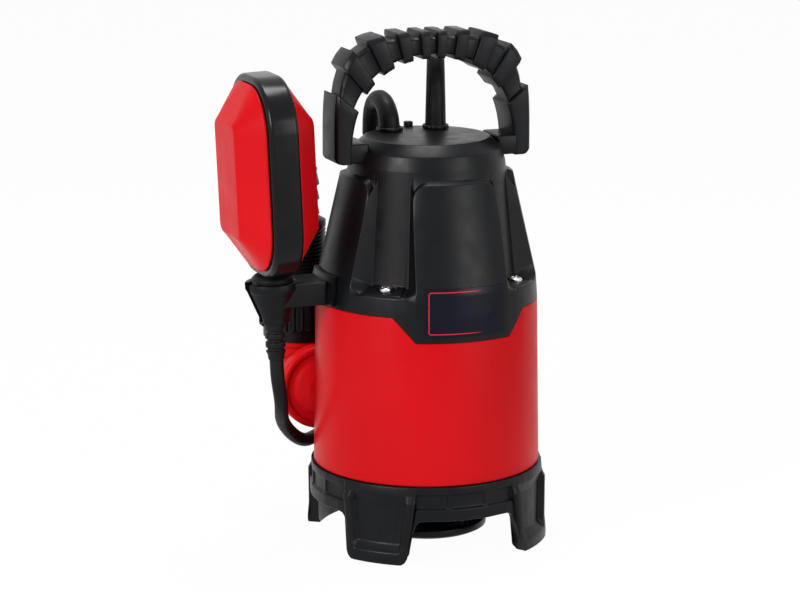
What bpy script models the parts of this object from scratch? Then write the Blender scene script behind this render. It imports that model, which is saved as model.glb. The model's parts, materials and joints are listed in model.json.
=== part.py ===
"""Submersible sump pump with a float switch.

The pump stands on four feet at z = 0, its rating plate faces -Y and its float hangs on the -X side.
Sizes are in millimetres and degrees until add_object turns them into metres.
"""

import math

import bmesh
import bpy
import numpy as np
from mathutils import Matrix, Vector

MM = 0.001
GAP = 0.3  # left between pieces that touch

# Casing and the heights of the outer pieces
CASING_RADIUS = 69.8  # at its lower edge
CASING_TAPER = 1.8  # how much smaller the radius is at its upper edge
CASING_WALL = 2.8
BASE_HEIGHT = 48.0
CASING_HEIGHT = 103.0
LEDGE_RISE = 14.0  # from the casing's edge to the screw ledges
PANEL_RISE = 63.0  # from the ledges to the top of the panels
DRUM_RISE = 21.8  # from the top of the panels to the disc
HANDLE_RISE = 67.2  # from the disc to the top of the handle

# Base with its feet
ARCH_HEIGHT = 27.0
DECK_THICKNESS = 3.0
EYE_RADIUS = 21.0
FOOT_PROUD = 10.2  # feet outside the casing's radius
FOOT_HALF_ANGLE = 15.0
FOOT_WALL = 3.2
DISH_RADIUS = 37.5
DISH_LIFT = 4.5
POST_CIRCLE = 24.0
POST_RADIUS = 3.5

# Cover
COVER_WALL = 2.8
DISC_RADIUS = 38.0
DRUM_RADIUS = 47.8
PANEL_PROUD = 2.4
PANEL_TOP_ANGLE = 30.0
PANEL_FOOT_ANGLE = 26.0
PANEL_CORNER = 9.0
PILASTER_ANGLE = 13.0
TONGUE_DROP = 15.0
SCREW_CIRCLE = 59.0
SCREW_HEAD_RADIUS = 4.0
SCREW_SHANK_RADIUS = 1.8
PLATE_HALF_ANGLE = 21.3
PLATE_HEIGHT = 28.9
PLATE_THICKNESS = 0.8

# Handle
HANDLE_HALF_WIDTH = 62.5
HANDLE_OPENING = 52.5
HANDLE_DEPTH = 27.0
HANDLE_GRIP = 19.0  # thickness of the grip at the top
GRIP_BLOCKS = 10
GRIP_PROUD = 3.0
LEG_DROP = 13.0  # how far the legs reach below the disc

# Leads and what they pass through
FLOAT_LEAD_DIAMETER = 8.5
MAINS_LEAD_DIAMETER = 7.5
GLAND_OFFSET = (15.0, 24.0)
GLAND_RADIUS = 8.6
GLAND_HEIGHT = 3.6
BOOT_RADIUS = 6.4
BOOT_CLEARANCE = 1.2
MAINS_BOOT_LENGTH = 52.0
FLOAT_BOOT_LENGTH = 66.0

# Outlet
OUTLET_HEIGHT = 88.5
OUTLET_INSET = 13.8  # of the outlet's axis from the casing's side
BARREL_INSET = 25.8  # of the barrel's front from the casing's back
FRONT_RADIUS = 28.4
BARREL_RADIUS = 22.5
RISER_REACH = 10.2  # from the casing's back to the riser's axis
RISER_RADIUS = 17.4
RISER_BORE = 11.0
RISER_RISE = 17.0  # inside the union nut
NUT_LIFT = 23.5  # from the barrel's axis to the nut
NUT_RADIUS = 25.4
NUT_HEIGHT = 33.0
NUT_RIBS = 24
BARB_RADIUS = 13.5
TAIL_RISE = 75.0  # of the hose tail above the nut

# Float
FLOAT_REACH = 32.2  # from the casing's side to the float's middle
FLOAT_RISE = 66.75  # from the screw ledges to the float's middle
FLOAT_LEAN = 2.5
FLOAT_WIDTH = 80.0
FLOAT_HEIGHT = 121.0
FLOAT_THICKNESS = 50.0
FLOAT_CORNER = 28.0
FLOAT_WALL = 2.4
BAND_WIDTH = 21.0
BAND_DEPTH = 5.0
NECK_RADIUS = 12.6
SLEEVE_RADIUS = 6.2
SLEEVE_LENGTH = 20.0
FUNNEL_WALL = 2.2

# Motor and pump inside
CAN_RADIUS = 45.0
CAN_WALL = 1.2
STATOR_LENGTH = 65.0
STATOR_SLOTS = 12
ROTOR_RADIUS = 24.0
SHAFT_RADIUS = 7.0
SHAFT_END_RADIUS = 5.0
CHAMBER_RADIUS = 60.0
CHAMBER_HEIGHT = 28.7
IMPELLER_RADIUS = 46.0
IMPELLER_VANES = 6

# Mains lead wound up behind the pump
COIL_INNER_RADIUS = 42.0
COIL_PITCH = 8.0
COIL_TURNS = 3  # in each layer
COIL_LAYERS = 4
COIL_POINTS = 24  # along each turn
COIL_REACH = 85.7  # from the casing to the middle of the coil
COIL_BEARING = 69.0  # direction of the coil from the pump's axis
TIE_THICKNESS = 0.9
PLUG_RADIUS = 17.6

CASING_TOP = BASE_HEIGHT + CASING_HEIGHT
LEDGE_HEIGHT = CASING_TOP + LEDGE_RISE
PANEL_TOP = LEDGE_HEIGHT + PANEL_RISE
DISC_HEIGHT = PANEL_TOP + DRUM_RISE
PUMP_HEIGHT = DISC_HEIGHT + HANDLE_RISE

# Places of what stands beside the casing
OUTLET_X = OUTLET_INSET - CASING_RADIUS
BARREL_Y = CASING_RADIUS - BARREL_INSET
RISER_Y = CASING_RADIUS + RISER_REACH
FLOAT_X = -CASING_RADIUS - FLOAT_REACH
FLOAT_Z = LEDGE_HEIGHT + FLOAT_RISE
COIL_DISTANCE = CASING_RADIUS + COIL_REACH


# --------------------------------------------------------------------------- helpers


def clear_scene():
    for item in list(bpy.data.objects):
        bpy.data.objects.remove(item, do_unlink=True)


def make_material(name, colour, roughness, metallic=0.0):
    material = bpy.data.materials.new(name)
    material.use_nodes = True
    shader = material.node_tree.nodes["Principled BSDF"]
    shader.inputs["Base Color"].default_value = (*colour, 1.0)
    shader.inputs["Roughness"].default_value = roughness
    shader.inputs["Metallic"].default_value = metallic
    return material


def make_materials():
    return {
        "red_plastic": make_material("red_plastic", (0.58, 0.020, 0.018), 0.42),
        "black_plastic": make_material("black_plastic", (0.018, 0.019, 0.021), 0.5),
        "glossy_black": make_material("glossy_black", (0.012, 0.012, 0.014), 0.22),
        "black_rubber": make_material("black_rubber", (0.014, 0.014, 0.015), 0.6),
        "dark_plate": make_material("dark_plate", (0.006, 0.008, 0.022), 0.3),
        "steel": make_material("steel", (0.62, 0.62, 0.63), 0.3, 1.0),
        "brass": make_material("brass", (0.68, 0.47, 0.18), 0.32, 1.0),
        "copper": make_material("copper", (0.72, 0.30, 0.14), 0.35, 1.0),
        "core_steel": make_material("core_steel", (0.28, 0.29, 0.31), 0.45, 1.0),
        "white_plastic": make_material("white_plastic", (0.78, 0.77, 0.74), 0.45),
    }


def add_empty(name, parent, location=(0, 0, 0), lean=0.0):
    """A body's own frame; lean turns it about Y, in degrees."""
    empty = bpy.data.objects.new(name, None)
    bpy.context.collection.objects.link(empty)
    empty.parent = parent
    empty.location = Vector(location) * MM
    empty.rotation_euler = (0, math.radians(lean), 0)
    return empty


def add_object(name, bm, material, parent, location=(0, 0, 0)):
    bmesh.ops.recalc_face_normals(bm, faces=bm.faces)
    bmesh.ops.scale(bm, vec=(MM, MM, MM), verts=bm.verts)
    mesh = bpy.data.meshes.new(name)
    bm.to_mesh(mesh)
    bm.free()
    mesh.shade_smooth()
    mesh.set_sharp_from_angle(angle=math.radians(35))
    mesh.materials.append(material)
    obj = bpy.data.objects.new(name, mesh)
    bpy.context.collection.objects.link(obj)
    obj.parent = parent
    obj.location = Vector(location) * MM
    return obj


def shape_with(target, tool_name, tool_bm, operation="DIFFERENCE"):
    """Cut a tool out of the target, or weld it on with UNION."""
    tool = add_object(tool_name, tool_bm, target.data.materials[0], target.parent, target.location / MM)
    tool.hide_render = True
    tool.display_type = "WIRE"
    modifier = target.modifiers.new(tool_name, "BOOLEAN")
    modifier.operation = operation
    modifier.solver = "EXACT"
    modifier.object = tool
    return target


def turned(outline, steps=32):
    """A solid of revolution about Z, from a closed (radius, height) outline."""
    bm = bmesh.new()
    ring = [bm.verts.new((radius, 0, height)) for radius, height in outline]
    pairs = zip(ring, ring[1:] + ring[:1])
    edges = [bm.edges.new(pair) for pair in pairs if pair[0].co.x + pair[1].co.x > 0]
    bmesh.ops.spin(
        bm, geom=ring + edges, cent=(0, 0, 0), axis=(0, 0, 1), angle=math.tau, steps=steps, use_merge=True
    )
    bmesh.ops.remove_doubles(bm, verts=bm.verts, dist=0.0005)
    return bm


def ring_outline(inner, outer, low, high):
    return [(inner, low), (outer, low), (outer, high), (inner, high)]


def skinned(lines, closed=True, looped=True):
    """A skin over neighbouring lines of points.

    closed joins the last line to the first, looped joins each line's last point to its own first.
    A row of looped lines that isn't closed gets a cap at either end.
    """
    bm = bmesh.new()
    rows = [[bm.verts.new(point) for point in line] for line in lines]
    count = len(rows[0])
    for near, far in zip(rows, rows[1:] + rows[:1] if closed else rows[1:]):
        for i in range(count if looped else count - 1):
            j = (i + 1) % count
            bm.faces.new((near[i], near[j], far[j], far[i]))
    if not closed:
        bm.faces.new(rows[0])
        bm.faces.new(rows[-1])
    bmesh.ops.remove_doubles(bm, verts=bm.verts, dist=0.0005)
    return bm


def prism(outline, low, high):
    """An outline in XY pulled up from low to high."""
    bm = bmesh.new()
    face = bm.faces.new([bm.verts.new((x, y, low)) for x, y in outline])
    pulled = bmesh.ops.extrude_face_region(bm, geom=[face])["geom"]
    moved = [item for item in pulled if isinstance(item, bmesh.types.BMVert)]
    bmesh.ops.translate(bm, vec=(0, 0, high - low), verts=moved)
    return bm


def block(low, high):
    corners = [(low[0], low[1]), (high[0], low[1]), (high[0], high[1]), (low[0], high[1])]
    return prism(corners, low[2], high[2])


def merged(parts):
    """Several meshes put in one, as separate shells."""
    whole = bmesh.new()
    for part in parts:
        bmesh.ops.recalc_face_normals(part, faces=part.faces)
        carrier = bpy.data.meshes.new("carrier")
        part.to_mesh(carrier)
        part.free()
        whole.from_mesh(carrier)
        bpy.data.meshes.remove(carrier)
    return whole


def moved(bm, location=(0, 0, 0), turn=0.0, axis="Z"):
    """Turn a mesh about an axis through the origin, in degrees, then shift it."""
    matrix = Matrix.Translation(Vector(location)) @ Matrix.Rotation(math.radians(turn), 4, axis)
    bmesh.ops.transform(bm, matrix=matrix, verts=bm.verts)
    return bm


def polar(radius, degrees, height=None):
    angle = math.radians(degrees)
    point = (radius * math.cos(angle), radius * math.sin(angle))
    return point if height is None else (*point, height)


def lerp(low, high, share):
    return low + (high - low) * share


def spline_points(route, spacing):
    """Points at even spacing along a natural cubic spline through the route."""
    knots = np.array(route, float)
    chord = distances(knots)
    step = np.diff(chord)
    count = len(knots)
    system = np.eye(count)
    target = np.zeros((count, 3))
    for i in range(1, count - 1):
        system[i, i - 1 : i + 2] = (step[i - 1], 2 * (step[i - 1] + step[i]), step[i])
        slopes = (knots[i + 1] - knots[i]) / step[i] - (knots[i] - knots[i - 1]) / step[i - 1]
        target[i] = 6 * slopes
    bend = np.linalg.solve(system, target)
    total = max(2, round(chord[-1] / spacing))
    out = []
    for place in np.linspace(0, chord[-1], total + 1):
        i = min(int(np.searchsorted(chord, place, side="right")) - 1, count - 2)
        a = (chord[i + 1] - place) / step[i]
        b = 1 - a
        curve = a * knots[i] + b * knots[i + 1]
        out.append(curve + ((a**3 - a) * bend[i] + (b**3 - b) * bend[i + 1]) * step[i] ** 2 / 6)
    return np.array(out)


def distances(points):
    return np.concatenate([[0.0], np.cumsum(np.linalg.norm(np.diff(points, axis=0), axis=1))])


def path_length(points):
    return float(distances(points)[-1])


def headings(points):
    slopes = np.gradient(points, distances(points), axis=0, edge_order=2)
    return slopes / np.linalg.norm(slopes, axis=1)[:, None]


def path_part(points, start, end):
    """The stretch of a path between two distances along it, with its two cut ends."""
    along = distances(points)
    keep = (along > start + 1.0) & (along < end - 1.0)
    ends = [[np.interp(place, along, points[:, k]) for k in range(3)] for place in (start, end)]
    return np.vstack([ends[:1], points[keep], ends[1:]])


def swept(points, radii, sides=12):
    """A round solid along a path, whose radius follows the list of radii."""
    points = np.array(points, float)
    tangents = headings(points)
    side = np.cross(tangents[0], (0.31, 0.17, 0.93) if abs(tangents[0][2]) < 0.9 else (1, 0, 0))
    lines = []
    for point, tangent, radius in zip(points, tangents, radii):
        side = side - tangent * side.dot(tangent)
        side /= np.linalg.norm(side)
        other = np.cross(tangent, side)
        turn = np.arange(sides) * math.tau / sides
        lines.append(point + radius * (np.outer(np.cos(turn), side) + np.outer(np.sin(turn), other)))
    return skinned(lines, closed=False)


def add_cord(name, points, diameter, resolution, material, parent):
    """A round cord as a bevelled curve with filled ends."""
    curve = bpy.data.curves.new(name, "CURVE")
    curve.dimensions = "3D"
    curve.bevel_depth = diameter / 2 * MM
    curve.bevel_resolution = resolution
    curve.use_fill_caps = True
    spline = curve.splines.new("POLY")
    spline.points.add(len(points) - 1)
    for slot, point in zip(spline.points, points):
        slot.co = (*(Vector(point) * MM), 1.0)
    curve.materials.append(material)
    obj = bpy.data.objects.new(name, curve)
    bpy.context.collection.objects.link(obj)
    obj.parent = parent
    return obj


# --------------------------------------------------------------------------- outer surfaces


def casing_radius(height):
    return CASING_RADIUS - CASING_TAPER * (height - BASE_HEIGHT) / CASING_HEIGHT


def panel_radius(height):
    """The sloping faces of the cover, from the casing's edge up to the drum."""
    foot = casing_radius(CASING_TOP) - 1.0
    top = DRUM_RADIUS + PANEL_PROUD + 2.4
    if height <= LEDGE_HEIGHT:
        return lerp(casing_radius(CASING_TOP), foot, max(0.0, (height - CASING_TOP) / LEDGE_RISE))
    return lerp(foot, top, min(1.0, (height - LEDGE_HEIGHT) / PANEL_RISE))


def outer_radius(height):
    """Casing and cover together, as anything that lies against the pump meets them."""
    return casing_radius(height) if height < CASING_TOP else panel_radius(height)


def rim_height(bearing):
    """Lower edge of the cover: level, with a tongue down the front."""
    off = abs((bearing + 90.0 + 180.0) % 360.0 - 180.0)
    share = (off - PANEL_FOOT_ANGLE) / (2.0 * (45.0 - PILASTER_ANGLE - PANEL_FOOT_ANGLE))
    return CASING_TOP - TONGUE_DROP * (1.0 - min(1.0, max(0.0, share)))


PANEL_SHARES = (-1.0, -0.9, -0.7, -0.35, 0.0, 0.35, 0.7, 0.9, 1.0)
PILASTER_SHARES = (-1.0, 0.0, 1.0)


def cover_columns():
    """(kind, middle bearing, share of the half width) for each column of the cover."""
    for quarter in range(4):
        for share in PANEL_SHARES:
            yield "panel", 90.0 * quarter, share
        for share in PILASTER_SHARES:
            yield "pilaster", 90.0 * quarter + 45.0, share


def cover_line(kind, middle, share, wall=0.0):
    """One column of the cover's surface, moved inwards by the wall, as (bearing, radius, height)."""
    levels = [PANEL_TOP - 32.0, LEDGE_HEIGHT + 7.0, LEDGE_HEIGHT, LEDGE_HEIGHT - 4.5]
    slim = math.degrees(wall / CASING_RADIUS)

    def bearing(height):
        if kind == "pilaster":
            return middle + share * (PILASTER_ANGLE + slim)
        rise = min(1.0, max(0.0, (height - LEDGE_HEIGHT) / PANEL_RISE))
        return middle + share * (lerp(PANEL_FOOT_ANGLE, PANEL_TOP_ANGLE, rise) - slim)

    half_width = math.radians(PANEL_TOP_ANGLE) * (DRUM_RADIUS + PANEL_PROUD)
    past = max(0.0, abs(share) * half_width - (half_width - PANEL_CORNER))
    step = PANEL_TOP - (PANEL_CORNER - math.sqrt(PANEL_CORNER**2 - past**2)) * (kind == "panel")
    line = [
        (0.0, DISC_HEIGHT - wall),
        (DISC_RADIUS - wall * 0.4, DISC_HEIGHT - wall),
        (DRUM_RADIUS - 2.3 - wall, DISC_HEIGHT - 6.3 - wall * 0.6),
        (DRUM_RADIUS - wall, DISC_HEIGHT - 14.8 - wall * 0.4),
        (DRUM_RADIUS + 2.2 - wall, step + 1.6 - wall * 0.4),
    ]
    if kind == "panel":
        line += [(panel_radius(step) - wall, step - wall * 0.4)]
        line += [(panel_radius(z) - wall, z) for z in levels]
    else:
        core = DRUM_RADIUS + 2.4
        line += [(core - wall, step), (core + 0.4 - wall, levels[0]),
                 (core + 0.8 - wall, LEDGE_HEIGHT - wall)]
        line += [(panel_radius(LEDGE_HEIGHT) - 1.0 - wall, LEDGE_HEIGHT - wall)]
        line += [(panel_radius(LEDGE_HEIGHT) + 0.3 - wall, LEDGE_HEIGHT - 1.8 - wall)]
    half = PANEL_FOOT_ANGLE if kind == "panel" else PILASTER_ANGLE
    rim = rim_height(middle + share * half)
    line += [(casing_radius(rim) - wall, rim)]
    return [polar(radius, bearing(height), height) for radius, height in line]


def build_top_cover(parent, materials):
    lines = [cover_line(*column) + cover_line(*column, wall=COVER_WALL)[::-1] for column in cover_columns()]
    cover = add_object("top_cover", skinned(lines, looped=False), materials["black_plastic"], parent)
    holes = [
        moved(turned([(0, 0), (BOOT_RADIUS + BOOT_CLEARANCE, 0), (BOOT_RADIUS + BOOT_CLEARANCE, 12),
                      (0, 12)], 16),
              (side * GLAND_OFFSET[0], GLAND_OFFSET[1], DISC_HEIGHT - 8))
        for side in (-1, 1)
    ]
    hole = SCREW_SHANK_RADIUS + 0.5
    seat = SCREW_HEAD_RADIUS + 1.4
    pockets = []
    for quarter in range(4):
        place = polar(SCREW_CIRCLE, 45 + 90 * quarter)
        drill = turned([(0, 0), (hole, 0), (hole, 12), (0, 12)], 8)
        holes.append(moved(drill, (*place, LEDGE_HEIGHT - 8)))
        pocket = block((-seat, -seat, -1.0), (seat, seat, 6.0))
        pockets.append(moved(pocket, (*place, LEDGE_HEIGHT), 45 + 90 * quarter))
    shape_with(cover, "cover_pockets", merged(pockets))
    shape_with(cover, "cover_holes", merged(holes))
    lug = block((-0.5, DISC_RADIUS - 3, DISC_HEIGHT - 1.5), (4.5, DISC_RADIUS + 1.5, DISC_HEIGHT + 3.0))
    shape_with(cover, "cover_lug", lug, "UNION")
    return cover


def build_outer_casing(parent, materials):
    lines = []
    for kind, middle, share in cover_columns():
        half = PANEL_FOOT_ANGLE if kind == "panel" else PILASTER_ANGLE
        bearing = middle + share * half
        top = rim_height(bearing) - GAP
        outline = [(BASE_HEIGHT + GAP, 0.0), (top, 0.0), (top, CASING_WALL), (BASE_HEIGHT + GAP, CASING_WALL)]
        lines.append([polar(casing_radius(z) - inset, bearing, z) for z, inset in outline])
    casing = add_object("outer_casing", skinned(lines), materials["red_plastic"], parent)

    # Screw posts stand on webs inside the upper edge, under the cover's ledges.
    post_top = LEDGE_HEIGHT - COVER_WALL - GAP
    post_low = CASING_TOP - 7.0
    posts = []
    for quarter in range(4):
        bearing = 45 + 90 * quarter
        post = turned([(0, 0), (3.7, 0), (3.7, post_top - post_low), (0, post_top - post_low)], 10)
        posts.append(moved(post, polar(SCREW_CIRCLE, bearing, post_low)))
    shape_with(casing, "casing_posts", merged(posts), "UNION")
    web_out = casing_radius(CASING_TOP) - CASING_WALL / 2
    webs = [
        moved(block((SCREW_CIRCLE - 1, -1.6, post_low + 0.4), (web_out, 1.6, CASING_TOP - 1.2)),
              turn=45 + 90 * quarter)
        for quarter in range(4)
    ]
    shape_with(casing, "casing_webs", merged(webs), "UNION")
    drills = [
        moved(turned([(0, 0), (SCREW_SHANK_RADIUS + GAP, 0), (SCREW_SHANK_RADIUS + GAP, 20), (0, 20)], 8),
              polar(SCREW_CIRCLE, 45 + 90 * quarter, post_top - 14))
        for quarter in range(4)
    ]
    shape_with(casing, "casing_drills", merged(drills))

    # The outlet leaves the casing at a tangent, towards +Y, and turns up into the riser.
    step = BARREL_Y + 9.0
    end = RISER_Y + BARREL_RADIUS - 0.5
    barrel = [
        (0, BARREL_Y - 3.5), (10, BARREL_Y - 2.8), (18.5, BARREL_Y - 0.5), (19.5, BARREL_Y + 1.5),
        (23.5, BARREL_Y + 1.5), (24.0, BARREL_Y), (FRONT_RADIUS - 1.4, BARREL_Y),
        (FRONT_RADIUS, BARREL_Y + 1.4),
        (FRONT_RADIUS, step), (BARREL_RADIUS, step + 1.0), (BARREL_RADIUS, end - 4.0),
        (BARREL_RADIUS - 4.0, end), (0, end),
    ]
    shape_with(casing, "outlet_barrel", along_y(turned(barrel, 26)), "UNION")
    nut_low = OUTLET_HEIGHT + NUT_LIFT
    riser = [
        (0, OUTLET_HEIGHT), (RISER_RADIUS, OUTLET_HEIGHT), (RISER_RADIUS, nut_low - 5),
        (NUT_RADIUS - 1.5, nut_low - 3.5),
        (NUT_RADIUS - 1.5, nut_low - GAP), (RISER_RADIUS, nut_low - GAP),
        (RISER_RADIUS, nut_low + RISER_RISE),
        (0, nut_low + RISER_RISE),
    ]
    shape_with(casing, "outlet_riser", moved(turned(riser, 20), (OUTLET_X, RISER_Y, 0)), "UNION")
    keep_clear = turned([(0, BASE_HEIGHT), (casing_radius(BASE_HEIGHT) - CASING_WALL, BASE_HEIGHT),
                         (casing_radius(CASING_TOP) - CASING_WALL, post_low - 1.0), (0, post_low - 1.0)], 48)
    shape_with(casing, "casing_hollow", keep_clear)
    hollow = BARREL_RADIUS - 3.5
    bore = [(0, BARREL_Y + 3.5), (hollow, BARREL_Y + 3.5), (hollow, end - 6.0),
            (hollow - 3.0, end - 3.5), (0, end - 3.5)]
    shape_with(casing, "barrel_bore", along_y(turned(bore, 20)))
    drill = [(0, OUTLET_HEIGHT), (RISER_BORE, OUTLET_HEIGHT), (RISER_BORE, nut_low + 40), (0, nut_low + 40)]
    shape_with(casing, "riser_bore", moved(turned(drill, 16), (OUTLET_X, RISER_Y, 0)))
    return casing


def along_y(bm):
    """Lay a turned piece along +Y at the outlet, its heights becoming distances along Y."""
    return moved(moved(bm, turn=-90, axis="X"), (OUTLET_X, 0, OUTLET_HEIGHT))


# --------------------------------------------------------------------------- base


def build_pump_base(parent, materials):
    band = CASING_RADIUS + 2.4
    lip = band + 0.8
    groove = band - 1.6
    foot = CASING_RADIUS + FOOT_PROUD
    inner = CASING_RADIUS - 2.3
    top = BASE_HEIGHT
    deck = ARCH_HEIGHT + DECK_THICKNESS
    inside = [(EYE_RADIUS, ARCH_HEIGHT), (EYE_RADIUS, deck), (inner, deck), (inner, top)]

    def band_line(bottom, face):
        outside = [(band, top), (band, top - 4.7), (face, top - 5.2), (face, top - 13), (lip, top - 14),
                   (lip, bottom)]
        return outside + [(lip - FOOT_WALL, bottom), (lip - FOOT_WALL, ARCH_HEIGHT)] + inside

    def foot_line(sunk, back):
        outside = [(band, top), (foot - 2.5, top - 4.7)]
        if sunk:
            outside += [(foot - 5.3, top - 7.5), (foot - 3.9, 12), (foot - 0.6, 7)]
        else:
            outside += [(foot - 2.3, top - 7), (foot - 0.8, 12), (foot - 0.4, 7)]
        return outside + [(foot, 0), (back, 0), (back, ARCH_HEIGHT)] + inside

    def half_angle(height):
        return FOOT_HALF_ANGLE + 2.0 * min(1.0, height / (top - 14))

    thin = foot - FOOT_WALL
    thick = lip - FOOT_WALL
    half_columns = [
        (-5.0, foot_line(True, thin)),
        (-4.4, foot_line(False, thin)),
        (-2.5, foot_line(False, thin)),
        (-2.3, foot_line(False, thick)),
        (0.0, foot_line(False, thick)),
        (0.4, band_line(ARCH_HEIGHT - 3.0, groove)),
        (3.0, band_line(ARCH_HEIGHT, groove)),
    ]
    window = [(-10.8, groove), (-10.4, band), (-8.4, band), (-8.0, groove)]
    window += [(-bearing, face) for bearing, face in window[::-1]]
    lines = []
    for quarter in range(4):
        middle = 45 + 90 * quarter
        for side in (-1, 1):
            chosen = half_columns[::-1] if side < 0 else half_columns
            for off, outline in chosen:
                lines.append([polar(r, middle + side * (half_angle(z) + off), z) for r, z in outline])
            if side < 0:
                lines.append([polar(r, middle, z) for r, z in foot_line(True, thin)])
        for off, face in window:
            lines.append([polar(r, middle + 45 + off, z) for r, z in band_line(ARCH_HEIGHT, face)])
    return add_object("pump_base", skinned(lines), materials["black_plastic"], parent)


def build_suction_dish(parent, materials):
    floor = DISH_LIFT + 2.2
    outline = [
        (0, DISH_LIFT), (DISH_RADIUS - 3.5, DISH_LIFT), (DISH_RADIUS, DISH_LIFT + 1.8),
        (DISH_RADIUS, DISH_LIFT + 6.0), (DISH_RADIUS - 1.8, DISH_LIFT + 6.0),
        (DISH_RADIUS - 3.4, floor), (7.0, floor), (5.0, floor + 3.0), (0, floor + 4.0),
    ]
    dish = add_object("suction_dish", turned(outline, 26), materials["black_plastic"], parent)
    height = ARCH_HEIGHT - GAP - DISH_LIFT - 1.0
    posts = [
        moved(turned([(0, 0), (POST_RADIUS + 0.6, 0), (POST_RADIUS, height), (0, height)], 10),
              polar(POST_CIRCLE, 45 + 90 * quarter, DISH_LIFT + 1.0))
        for quarter in range(4)
    ]
    return shape_with(dish, "dish_posts", merged(posts), "UNION")


# --------------------------------------------------------------------------- cover fittings


def build_rating_plate(parent, materials):
    low = CASING_TOP - TONGUE_DROP + 3.6
    heights = [low, CASING_TOP, LEDGE_HEIGHT - 4.5, LEDGE_HEIGHT, low + PLATE_HEIGHT]
    lines = []
    for bearing in np.linspace(-90 - PLATE_HALF_ANGLE, -90 + PLATE_HALF_ANGLE, 11):
        back = [polar(outer_radius(z) + GAP + 0.05, bearing, z) for z in heights]
        face = [polar(outer_radius(z) + GAP + 0.05 + PLATE_THICKNESS, bearing, z) for z in heights]
        lines.append(back + face[::-1])
    return add_object("rating_plate", skinned(lines, closed=False), materials["dark_plate"], parent)


def build_cover_screws(parent, materials):
    seat = LEDGE_HEIGHT - 1.0 + GAP
    outline = [
        (0, seat - 14), (SCREW_SHANK_RADIUS, seat - 14), (SCREW_SHANK_RADIUS, seat),
        (SCREW_HEAD_RADIUS, seat),
        (SCREW_HEAD_RADIUS, seat + 1.4), (SCREW_HEAD_RADIUS - 1.2, seat + 2.7), (0, seat + 3.0),
    ]
    for quarter in range(4):
        place = polar(SCREW_CIRCLE, 45 + 90 * quarter, 0)
        add_object(f"cover_screw_{quarter + 1}", turned(outline, 12), materials["steel"], parent, place)


def arch_point(half_width, rise, power, share):
    """A point of a superellipse arch that stands on the legs' feet, share 0 to 1 from +X to -X."""
    turn = math.pi * share
    across = math.copysign(abs(math.cos(turn)) ** (2 / power), math.cos(turn))
    return half_width * across, rise * abs(math.sin(turn)) ** (2 / power)


def build_carry_handle(parent, materials):
    foot = DISC_HEIGHT - LEG_DROP
    spring = foot + 3.0  # height where the arch's curve begins
    outer_rise = PUMP_HEIGHT - spring
    inner_rise = outer_rise - HANDLE_GRIP

    def section(share, proud):
        """One cut across the handle; proud is how far a grip block stands out."""
        x_out, z_out = arch_point(HANDLE_HALF_WIDTH, outer_rise, 4.0, share)
        x_in, z_in = arch_point(HANDLE_OPENING, inner_rise, 2.5, share)
        across = Vector((x_out - x_in, 0, z_out - z_in)).normalized() * (GRIP_PROUD - proud)
        outer = (x_out - across.x, spring + z_out - across.z)
        inner = (x_in, spring + z_in)
        deep = HANDLE_DEPTH / 2 - (GRIP_PROUD - proud) * 0.8
        soft = 2.2
        near = (lerp(outer[0], inner[0], 0.14), lerp(outer[1], inner[1], 0.14))
        return [
            (outer[0], -deep + soft, outer[1]), (outer[0], deep - soft, outer[1]), (near[0], deep, near[1]),
            (inner[0], deep, inner[1]), (inner[0], -deep, inner[1]), (near[0], -deep, near[1]),
        ]

    first, last = 0.13, 0.87
    pitch = (last - first) / (GRIP_BLOCKS - 0.4)
    stations = [(0.0, 0.4), (first - pitch * 0.4, 0.4)]
    for number in range(GRIP_BLOCKS):
        start = first + number * pitch
        stations += [(start - 0.002, 0.0), (start, GRIP_PROUD)]
        stations += [(start + pitch * 0.6, GRIP_PROUD), (start + pitch * 0.6 + 0.002, 0.0)]
    stations += [(last + pitch * 0.4, 0.4), (1.0, 0.4)]
    lines = [section(share, proud) for share, proud in stations]
    low = [[(x, y, foot) for x, y, z in lines[end]] for end in (0, -1)]
    handle = add_object(
        "carry_handle", skinned([low[0], *lines, low[1]], closed=False), materials["black_plastic"], parent
    )

    # Each leg is joined to a foot block that fits round the drum, and is hollowed from front and back.
    feet, hollows = [], []
    for side in (-1, 1):
        reach = sorted((side * (DRUM_RADIUS - 5.0), side * (HANDLE_OPENING + 3.0)))
        feet.append(block((reach[0], -9.0, foot + 1.0), (reach[1], 9.0, DISC_HEIGHT - 0.5)))
        x_mid = side * (HANDLE_OPENING + HANDLE_HALF_WIDTH - 1.5) / 2
        for face in (-1, 1):
            wide = (HANDLE_HALF_WIDTH - HANDLE_OPENING) / 2 - 2.4
            y_reach = sorted((face * 5.0, face * (HANDLE_DEPTH / 2 + 3)))
            hollows.append(block((x_mid - wide, y_reach[0], foot + 3.0),
                                 (x_mid + wide, y_reach[1], foot + 25.0)))
    shape_with(handle, "handle_feet", merged(feet), "UNION")
    shape_with(handle, "handle_hollows", merged(hollows))
    clear = GAP + 0.15
    drum = [
        (0, foot - 5), (DRUM_RADIUS + 3.0, foot - 5), (DRUM_RADIUS + clear, DISC_HEIGHT - 14.8),
        (DRUM_RADIUS - 2.3 + clear, DISC_HEIGHT - 6.3 + clear), (DISC_RADIUS + clear, DISC_HEIGHT + clear),
        (0, DISC_HEIGHT + clear),
    ]
    return shape_with(handle, "handle_seat", turned(drum, 64))


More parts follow.
